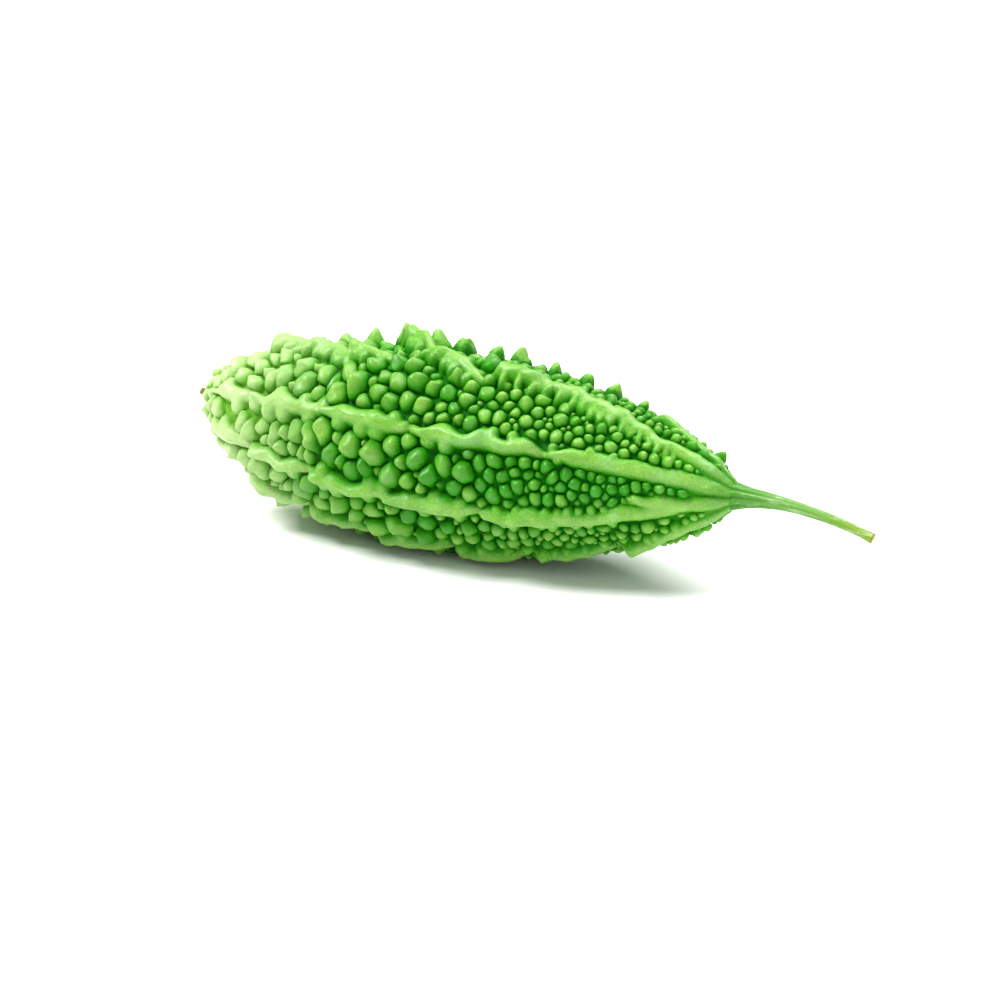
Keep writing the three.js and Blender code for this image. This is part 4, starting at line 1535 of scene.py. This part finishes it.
    def distance(self, wart: Wart, block: tuple) -> np.ndarray:
        """Measures a block of the grid from a wart.

        Args:
            wart: The wart.
            block: The block's rings and columns.

        Returns:
            The distances, in the wart's half-sizes.
        """
        offset = self.grid.point[block] - wart.point
        u = offset @ wart.across / wart.half_across
        v = offset @ wart.along / wart.half_along
        return np.hypot(u, v)

    def fuse_lobes(self, packing: Packing) -> None:
        """Blends each lobe, and the drips, into the ridge that carries it.

        Args:
            packing: The warts and lobes.
        """
        draw = Draws(self.growth.seed + 3)
        lobes = [wart for wart in packing.warts if wart.fused]
        for ridge in RIDGES:
            lobes += self.growth.drips(ridge, draw)
        for wart in lobes:
            block = self.window(wart, 1.0)
            lobe = wart.height * self.lobe_dome.at(self.distance(wart, block))
            ridge = self.height[block]
            share = np.maximum(self.lobe_blend - np.abs(ridge - lobe), 0.0) / self.lobe_blend
            blended = np.maximum(ridge, lobe) + share * share * self.lobe_blend / 4.0
            self.height[block] = np.where(lobe > 0.0, blended, ridge)
            crest = self.lobe_crest * lobe / wart.height
            self.ridge[block] = np.maximum(self.ridge[block], crest)

    def nearest(self, warts: Sequence[Wart]) -> tuple[np.ndarray, ...]:
        """The wart nearest to each place.

        Args:
            warts: The separate warts.

        Returns:
            Its number, the distance to it and to the next one, both in half-sizes.
        """
        shape = self.grid.t.shape
        which = np.zeros(shape, int)
        first = np.full(shape, self.far)
        second = np.full(shape, self.far)
        for i, wart in enumerate(warts):
            block = self.window(wart, self.bulb.look)
            off = self.distance(wart, block)
            nearer = off < first[block]
            second[block] = np.where(nearer, first[block], np.minimum(second[block], off))
            which[block] = np.where(nearer, i, which[block])
            first[block] = np.where(nearer, off, first[block])
        return which, first, second

    def deeper(self, wart: Wart) -> float:
        """How much painted shade darkens a wart: most low on the front, towards the stalk.

        Args:
            wart: The wart.

        Returns:
            What is taken off its tone, as painted shade.
        """
        away = (math.degrees(wart.angle) - self.shade_angle + 180.0) % 360.0 - 180.0
        low = math.exp(-((away / self.shade_spread) ** 2))
        return self.shade_strength * low * float(rise(0.4, 0.6, wart.t))

    def bulge(self, packing: Packing) -> tuple[np.ndarray, ...]:
        """Raises the separate warts as bulbs, pressed against each other.

        Args:
            packing: The warts.

        Returns:
            The surface's points, each one's share of its wart's height, and its tone with painted
            light and shade.
        """
        bulb = self.bulb
        grid = self.grid
        draw = Draws(self.growth.seed + 7)
        warts = [wart for wart in packing.warts if not wart.fused]
        which, first, second = self.nearest(warts)

        def each(values: Any) -> np.ndarray:
            """One number or vector of each place's wart."""
            return np.array(list(values))[which]

        across, along = each(w.across for w in warts), each(w.along for w in warts)
        half_across = each(w.half_across for w in warts)
        half_along = each(w.half_along for w in warts)
        normal, point = each(w.normal for w in warts), each(w.point for w in warts)
        height = each(w.height * draw.between(bulb.lowest, bulb.highest) for w in warts)
        # the first wart carries the scar, so it keeps its plain form
        free = which > 0
        height = np.where(free, height, warts[0].height)
        # 0 on a wart's middle and 1 on the edge of the room it has
        beside = self.foot / np.sqrt(half_across * half_along)
        between = 2.0 * first / (first + second)
        sides = np.stack([first / bulb.reach, between, first / (first + beside)])
        power = bulb.roundness * (1.0 + bulb.squarer * rise(0.55, 0.3, grid.t))
        edge = np.sum(sides**power, 0) ** (1.0 / power)
        bumps = free * bulb.uneven
        strayed = bulb.uneven_edge * bumps * bulb.edge_lumps.at(grid.point)
        edge = edge * (1.0 + strayed * np.maximum(1.0 - edge, 0.0))
        turn = np.minimum(edge / bulb.foot, 1.0) * bulb.wrap
        least = math.cos(bulb.wrap)
        share = np.maximum((np.cos(turn) - least) / (1.0 - least), 0.0)
        pointed = (up_from(bulb.plain_nib, rise(0.6, 0.3, w.t)) for w in warts)
        nib = each(bulb.nib * draw() * most for most in pointed)
        point_up = np.maximum(1.0 - edge / bulb.nib_width, 0.0) ** 2 - bulb.nib_sink
        tall = share + free * nib * point_up * share
        cone = each(w.cone for w in warts)
        tall = np.where(cone, self.cone_dome.at(edge), tall) * height
        tall = np.where(edge < 1.0, tall, -1.0)
        room = (tall - self.height) / (bulb.merge * height)
        shift = rise(0.0, 1.0, room) * np.where(cone, bulb.cone_wrap, 1.0)
        offset = grid.point - point
        u, v = dot(offset, across), dot(offset, along)
        tall = tall * (1.0 + bumps * bulb.top_lumps.at(grid.point))
        # how far sideways each place moves, as a share of its distance from the middle
        spread = bulb.width * np.sin(turn) / np.maximum(edge, LEAST)
        spread = np.where(edge < bulb.foot, spread, 1.0)
        sideways = (spread * u)[..., None] * across + (spread * v)[..., None] * along
        rounded = point + sideways + dot(offset, normal)[..., None] * normal
        base = grid.point + (rounded - grid.point) * shift[..., None]
        lift = grid.normal + (normal - grid.normal) * shift[..., None]
        lean = bulb.lean * rise(0.62, 0.2, grid.t) * shift * free
        lift = lift - lean[..., None] * grid.along
        taken = tall > self.height
        high = np.where(taken, np.where(edge < 1.0, share, 0.0), self.ridge)
        moved = base + lift * tall[..., None]
        plain = grid.point + grid.normal * self.height[..., None]
        # each wart's tone is drawn by chance, less painted shade low on the front towards the
        # stalk; cones take the lightest tone, as painted light
        tint_light_and_shade = each(1.0 if w.cone else draw() - self.deeper(w) for w in warts)
        tint_light_and_shade = np.where(taken, tint_light_and_shade, self.plain_tint)
        # the cones' tops take the crest colour as painted light; on other warts the crest share
        # drops
        pale = np.where(cone, rise(0.0, 0.6, share), self.ridge * 0.3)
        self.ridge = np.where(taken, pale, self.ridge)
        return np.where(taken[..., None], moved, plain), high, tint_light_and_shade

    def build(self) -> bpy.types.Object:
        """Makes the fruit.

        Returns:
            The finished piece, standing for the part's fruit.
        """
        shell = Shell("bitter_gourd_fruit", self.rings, self.columns)
        arcs = np.arange(1, self.rings + 1) * (BODY.whole_arc / self.rings)
        self.grid = BODY.at(BODY.t_at(arcs)[:, None], shell.angles()[None, :])
        packing = self.growth.grow()
        self.raise_ridges()
        self.fuse_lobes(packing)
        moved, high, tint_light_and_shade = self.bulge(packing)
        crest = self.ridge[..., None] * self.grid.normal
        moved += self.crest_bump * self.crest_lumps.at(self.grid.point)[..., None] * crest
        moved += self.skin_bump * self.skin_lumps.at(moved)[..., None] * self.grid.normal
        tip = packing.warts[0]
        first = tip.point + tip.normal * tip.height
        last = np.array([BODY.length, 0.0, 0.0])
        # its weight presses the lowest warts level with the floor
        moved[..., 2] = np.maximum(moved[..., 2], -SHIFT[2])
        shell.move(moved, first, last)
        # the height share sets the painted shade in the crevices and the paler tops
        shell.note("height", high, 1.0, 0.5)
        shell.note("ridge", self.ridge, 0.0, 1.0)
        # the tone carries painted shade on some warts and painted light on the cones
        shell.note("tint_light_and_shade", tint_light_and_shade, self.plain_tint, self.plain_tint)
        shell.note("along", self.grid.t, 0.0, 1.0)
        piece = shell.piece()
        thin(piece, self.triangles)
        piece.data.materials.append(self.finish.material())
        return piece


# ---- Stalk and scar -----------------------------------------------------------------


@dataclass
class Stalk:
    """The ribbed stalk, bent along its centre line, with a slightly swollen cut end.

    Attributes:
        length: How far it reaches past the joint along X.
        root: How far it reaches into the fruit.
        start_slope: The slope at which it leaves the fruit.
        droop: How it bends down, per millimetre.
        side_bend: How it bends sideways, per millimetre.
        root_radius: Its radius where it leaves the fruit.
        past_radius: Its radius past its root.
        thinning: How much thinner it becomes, per millimetre.
        taper_length: The length of its root.
        taper_power: How suddenly that ends.
        end_swell: How much thicker it is at its cut end.
        swell_length: The length of that swelling.
        flare: How much thicker still its foot is, which runs into the fruit.
        flare_length: The length of that foot.
        flare_power: How suddenly that ends.
        rings: Rings of points along its side.
        cap_rings: Rings of points on its cut end.
        columns: Points on each ring.
        rib_width: The width of a rib, in radians.
        rib_middle: How far up a rib its radius is measured, as a share.
        rib_depth: The depth of the ribs along the stalk, as a share of the radius.
        root_ribs: How much deeper they are over the root.
        foot_ribs: How much deeper they are at the foot.
        bumps: How uneven it is, as a share of the radius.
        rim: The length over which the edge of its cut end is rounded.
        cap_power: How flat its cut end is up to that edge.
        cap_reach: How near the middle its last ring comes, as a share of the radius.
        hollow: How deep the cut end is sunk in its middle.
        lumps: The waves that its unevenness follows.
    """

    length: float = 30.5
    root: float = 2.6
    start_slope: float = 0.06
    droop: float = 0.0061
    side_bend: float = 0.0016
    root_radius: float = 2.3
    past_radius: float = 1.28
    thinning: float = 0.011
    taper_length: float = 8.0
    taper_power: float = 1.4
    end_swell: float = 0.18
    swell_length: float = 3.0
    flare: float = 0.5
    flare_length: float = 1.7
    flare_power: float = 1.3
    rings: int = 190
    cap_rings: int = 12
    columns: int = 112
    rib_width: float = 0.3
    rib_middle: float = 0.62
    rib_depth: float = 0.06
    root_ribs: float = 0.13
    foot_ribs: float = 0.08
    bumps: float = 0.025
    rim: float = 0.25
    cap_power: float = 2.2
    cap_reach: float = 0.96
    hollow: float = 0.22
    lumps: Lumps = Lumps(53, 9.0)
    finish: StalkFinish = StalkFinish()

    def radius_at(self, x: np.ndarray) -> np.ndarray:
        """Works out the stalk's radius, its ribs aside.

        Args:
            x: Distances along X from the joint, in millimetres.

        Returns:
            The radius at each.
        """
        taper = np.exp(-((np.maximum(x, 0.0) / self.taper_length) ** self.taper_power))
        swell = self.end_swell * rise(self.length - self.swell_length, self.length, x)
        past = self.past_radius - self.thinning * x
        flare = np.exp(-((np.maximum(x, 0.0) / self.flare_length) ** self.flare_power))
        return past + (self.root_radius - past) * taper + swell + self.flare * flare

    def ribs(self, angle: np.ndarray) -> np.ndarray:
        """Raises a rib in line with each ridge of the neck.

        Args:
            angle: Angles round the stalk, in radians.

        Returns:
            How far each is up a rib, from 0 in a groove to 1 on a crest.
        """
        best = np.zeros_like(angle)
        for crest in np.radians(NECK_ANGLES):
            turn = np.arctan2(np.sin(angle - crest), np.cos(angle - crest))
            best = np.maximum(best, np.exp(-((turn / self.rib_width) ** 2)))
        return best

    def build(self) -> bpy.types.Object:
        """Makes the stalk.

        Returns:
            The finished piece, standing for the part's stalk.
        """
        rings = self.rings + self.cap_rings
        shell = Shell("bitter_gourd_stalk", rings, self.columns)
        straight = self.length - self.rim
        side = np.linspace(-self.root, straight, self.rings)
        cap = np.linspace(0.0, 1.0, self.cap_rings + 1)[1:]
        # the cut end: rounded at its rim, then sunk a little towards the pith
        x = np.concatenate([side, straight + self.rim * rise(0.0, 0.35, cap)])
        x[self.rings :] -= self.hollow * rise(0.45, 1.0, cap)
        closing = 1.0 - cap**self.cap_power * self.cap_reach
        share = np.concatenate([np.ones(self.rings), closing])
        angle = shell.angles()[None, :]
        rib = self.ribs(np.broadcast_to(angle, (rings, self.columns)))
        depth = self.rib_depth + self.root_ribs * (1.0 - rise(0.0, 20.0, x))
        depth = depth + self.foot_ribs * (1.0 - rise(0.0, 5.0, x))
        radius = self.radius_at(x)[:, None] * (1.0 + depth[:, None] * (rib - self.rib_middle))
        straight_x = np.broadcast_to(x[:, None], radius.shape)
        place = np.stack([straight_x, -radius * np.cos(angle), radius * np.sin(angle)], -1)
        radius = radius * (1.0 + self.bumps * self.lumps.at(place)) * share[:, None]
        lean = np.arctan(self.start_slope - 2.0 * self.droop * np.maximum(x, 0.0))
        lean = (lean * rise(0.0, self.root_radius, x))[:, None]
        up = radius * np.sin(angle)
        ahead = np.maximum(x, 0.0)
        middle = self.start_slope * x - self.droop * ahead**2
        grid = np.stack(
            [
                BODY.length + x[:, None] - up * np.sin(lean),
                -self.side_bend * (ahead**2)[:, None] - radius * np.cos(angle),
                middle[:, None] + up * np.cos(lean),
            ],
            -1,
        )
        first = np.array([BODY.length - self.root, 0.0, middle[0]])
        last = grid[-1].mean(0)
        shell.move(grid, first, last)
        # up to 0.4 at the end of the side, and from 0.5 at the cut's rim to 1 in its middle
        bark = 0.4 * rise(self.length - 1.0, self.length - 0.2, side)
        cut = np.concatenate([bark, 0.5 + 0.5 * cap])
        wide = np.ones(self.columns)
        shell.note("along", np.clip(x / self.length, 0.0, 1.0)[:, None] * wide, 0.0, 1.0)
        shell.note("rib", rib, 0.5, 0.5)
        shell.note("cut", cut[:, None] * wide, 0.0, 1.0)
        piece = shell.piece()
        piece.data.materials.append(self.finish.material())
        return piece


@dataclass
class Scar:
    """The dry scar: a small shrivelled button that sits on the beak.

    Attributes:
        radius: Its radius.
        length: Its length, beyond the gap.
        gap: Where its foot starts above the beak.
        sunk: How far its foot is sunk from there.
        tip_bulge: How far its far end bulges.
        bluntness: How blunt both its ends are: the lower, the blunter.
        waist: How much its width comes and goes along it.
        crease: How deep its creases are, as a share of the radius.
        creases: How many there are.
        bumps: How uneven it is, in millimetres.
        rings: Rings of points along it.
        columns: Points on each ring.
        lumps: The waves that its unevenness follows.
    """

    radius: float = 0.95
    length: float = 1.3
    gap: float = 0.3
    sunk: float = 0.35
    tip_bulge: float = 0.1
    bluntness: float = 0.45
    waist: float = 0.2
    crease: float = 0.1
    creases: int = 7
    bumps: float = 0.07
    rings: int = 40
    columns: int = 48
    lumps: Lumps = Lumps(19, 1.1)
    finish: ScarFinish = ScarFinish()

    def build(self) -> bpy.types.Object:
        """Makes the scar.

        Returns:
            The finished piece, standing for the part's scar.
        """
        shell = Shell("bitter_gourd_scar", self.rings, self.columns)
        foot = BODY.at(0.0, 0.0)
        out = foot.normal
        side = foot.across
        up = np.cross(out, side)
        share = np.arange(1, self.rings + 1) / (self.rings + 1.0)
        # from the far end at 0 to the foot at 1, waisted in its middle
        deep = self.length * (1.0 - share) + self.gap - self.sunk * rise(0.7, 1.0, share)
        wide = self.radius * np.sin(math.pi * share) ** self.bluntness
        wide = wide * (0.82 + self.waist * np.cos(9.0 * share))
        angle = shell.angles()[None, :]
        creased = 1.0 + self.crease * np.cos(self.creases * angle + 2.0 * share[:, None])
        radius = wide[:, None] * creased
        base = foot.point + out * BEAK_HEIGHT
        grid = (
            base
            + deep[:, None, None] * out
            + (radius * np.cos(angle))[..., None] * side
            + (radius * np.sin(angle))[..., None] * up
        )
        grid += self.bumps * self.lumps.at(grid)[..., None] * out
        first = base + out * (self.length + self.tip_bulge)
        shell.move(grid, first, base + out * (self.gap - self.sunk))
        piece = shell.piece()
        piece.data.materials.append(self.finish.material())
        return piece


# ---- The studio ---------------------------------------------------------------------


def direction(azimuth: float, elevation: float) -> Vector:
    """The direction towards a viewer; azimuth 0 looks along +Y, angles in degrees."""
    a, e = math.radians(azimuth), math.radians(elevation)
    return Vector((math.sin(a) * math.cos(e), -math.cos(a) * math.cos(e), math.sin(e)))


def stand(item: bpy.types.Object, target: Vector, back: Vector, distance: float) -> None:
    """Stands a light or a camera at a distance from a target and turns it towards it.

    Args:
        item: The light or camera.
        target: What it faces.
        back: The direction from the target to it.
        distance: How far off it stands, in metres.
    """
    item.location = target + back * distance
    item.rotation_euler = back.to_track_quat("Z", "Y").to_euler()


@dataclass(frozen=True)
class Light:
    """A light that faces the gourd.

    Attributes:
        name: Its name.
        azimuth: Where it stands round the gourd, in degrees.
        elevation: How high it stands, in degrees.
        distance: How far off it stands, in metres.
        energy: Its watts, or its watts to the square metre for a window.
    """

    name: str
    azimuth: float
    elevation: float
    distance: float
    energy: float

    def hang(self) -> None:
        """Puts the light in the scene."""
        lamp = self.lamp()
        lamp.energy = self.energy
        light = new_object(self.name, lamp)
        stand(light, Vector(), direction(self.azimuth, self.elevation), self.distance)

    def lamp(self) -> bpy.types.Light:
        """The lamp itself, which each kind of light makes in its own way."""
        raise NotImplementedError


@dataclass(frozen=True)
class Softbox(Light):
    """A square soft light near the gourd.

    Attributes:
        size: The length of its side, in metres.
    """

    size: float

    def lamp(self) -> bpy.types.Light:
        """Makes the square lamp.

        Returns:
            The lamp.
        """
        lamp = bpy.data.lights.new(self.name, "AREA")
        lamp.shape = "SQUARE"
        lamp.size = self.size
        return lamp


@dataclass(frozen=True)
class Window(Light):
    """A wide, even light from far off, as from a large window above.

    Attributes:
        spread: How wide it looks from the gourd, in degrees.
    """

    spread: float

    def lamp(self) -> bpy.types.Light:
        """Makes the far-off lamp.

        Returns:
            The lamp.
        """
        lamp = bpy.data.lights.new(self.name, "SUN")
        lamp.angle = math.radians(self.spread)
        return lamp


@dataclass
class Studio:
    """A plain pale floor, soft light all round, and the camera.

    Attributes:
        floor_size: The side of the floor, in metres.
        floor_squares: How many squares it has along a side.
        floor_gap: How far it lies below the gourd, in metres.
        world_strength: The strength of the white light all round.
        camera_azimuth: Where the camera stands round the gourd, in degrees.
        camera_elevation: How high it stands, in degrees.
        camera_distance: How far off it stands, in metres.
        scale: The pixels to a metre at that distance.
        frame: The pixels along a side of the frame.
        sensor: The camera's sensor, in millimetres.
        aim: The point that the camera looks at, in metres.
        aim_at: Where that point is in the frame, in pixels from its top left corner.
        lights: The lights.
    """

    floor_size: float = 6.0
    floor_squares: int = 8
    floor_gap: float = 0.00005
    world_strength: float = 0.4
    camera_azimuth: float = 26.3
    camera_elevation: float = 19.0
    camera_distance: float = 0.6
    scale: float = 4675.0
    frame: int = 1000
    sensor: float = 36.0
    aim: tuple[float, float, float] = (0.000336, 0.0, 0.021639)
    aim_at: tuple[float, float] = (523.1, 459.0)
    lights: tuple[Light, ...] = (
        Window("key", -62.0, 56.0, 1.0, 4.4, spread=26.0),
        Softbox("fill", 50.0, 30.0, 1.0, 2.0, size=0.7),
        Softbox("back", 165.0, 60.0, 0.9, 9.5, size=0.6),
    )

    def floor(self) -> None:
        """Lays the floor just under the gourd."""
        bm = bmesh.new()
        squares = self.floor_squares
        half = self.floor_size / 2.0
        bmesh.ops.create_grid(bm, x_segments=squares, y_segments=squares, size=half)
        bmesh.ops.translate(bm, verts=bm.verts, vec=(0.0, 0.0, -self.floor_gap))
        mesh = bpy.data.meshes.new("floor")
        bm.to_mesh(mesh)
        bm.free()
        floor = new_object("floor", mesh)
        mesh.materials.append(FloorFinish().material())

    def world(self) -> None:
        """Surrounds the scene with even white light."""
        scene = bpy.context.scene
        scene.world = bpy.data.worlds.new("white_room")
        scene.world.use_nodes = True
        background = scene.world.node_tree.nodes["Background"]
        background.inputs["Color"].default_value = (1.0, 1.0, 1.0, 1.0)
        background.inputs["Strength"].default_value = self.world_strength
        scene.view_settings.view_transform = "Standard"

    def camera(self) -> None:
        """Stands the camera so that its aim is at the given place in the frame."""
        camera = new_object("camera", bpy.data.cameras.new("camera"))
        camera.data.sensor_width = self.sensor
        camera.data.lens = self.scale * self.camera_distance / self.frame * self.sensor
        camera.data.shift_x = (self.frame / 2 - self.aim_at[0]) / self.frame
        camera.data.shift_y = (self.aim_at[1] - self.frame / 2) / self.frame
        back = direction(self.camera_azimuth, self.camera_elevation)
        stand(camera, Vector(self.aim), back, self.camera_distance)
        bpy.context.scene.camera = camera

    def build(self) -> None:
        """Sets up the whole studio."""
        self.floor()
        self.world()
        self.camera()
        for light in self.lights:
            light.hang()


def place(piece: bpy.types.Object, node: str, slot: Slot) -> None:
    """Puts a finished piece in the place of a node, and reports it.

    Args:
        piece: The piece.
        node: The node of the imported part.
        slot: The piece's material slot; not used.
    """
    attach(piece, "root")
    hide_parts(node)
    log.info("%s: %d triangles, in the place of %s", piece.name, triangle_count(piece), node)


def main() -> None:
    """Builds the gourd and its studio in order."""
    logging.basicConfig(level=logging.INFO, format="%(name)s: %(message)s")
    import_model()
    Studio().build()
    place(Fruit().build(), "fruit", Slot.SKIN)
    place(Stalk().build(), "stalk", Slot.STALK)
    place(Scar().build(), "blossom_scar", Slot.SCAR)


if __name__ == "__main__":
    main()
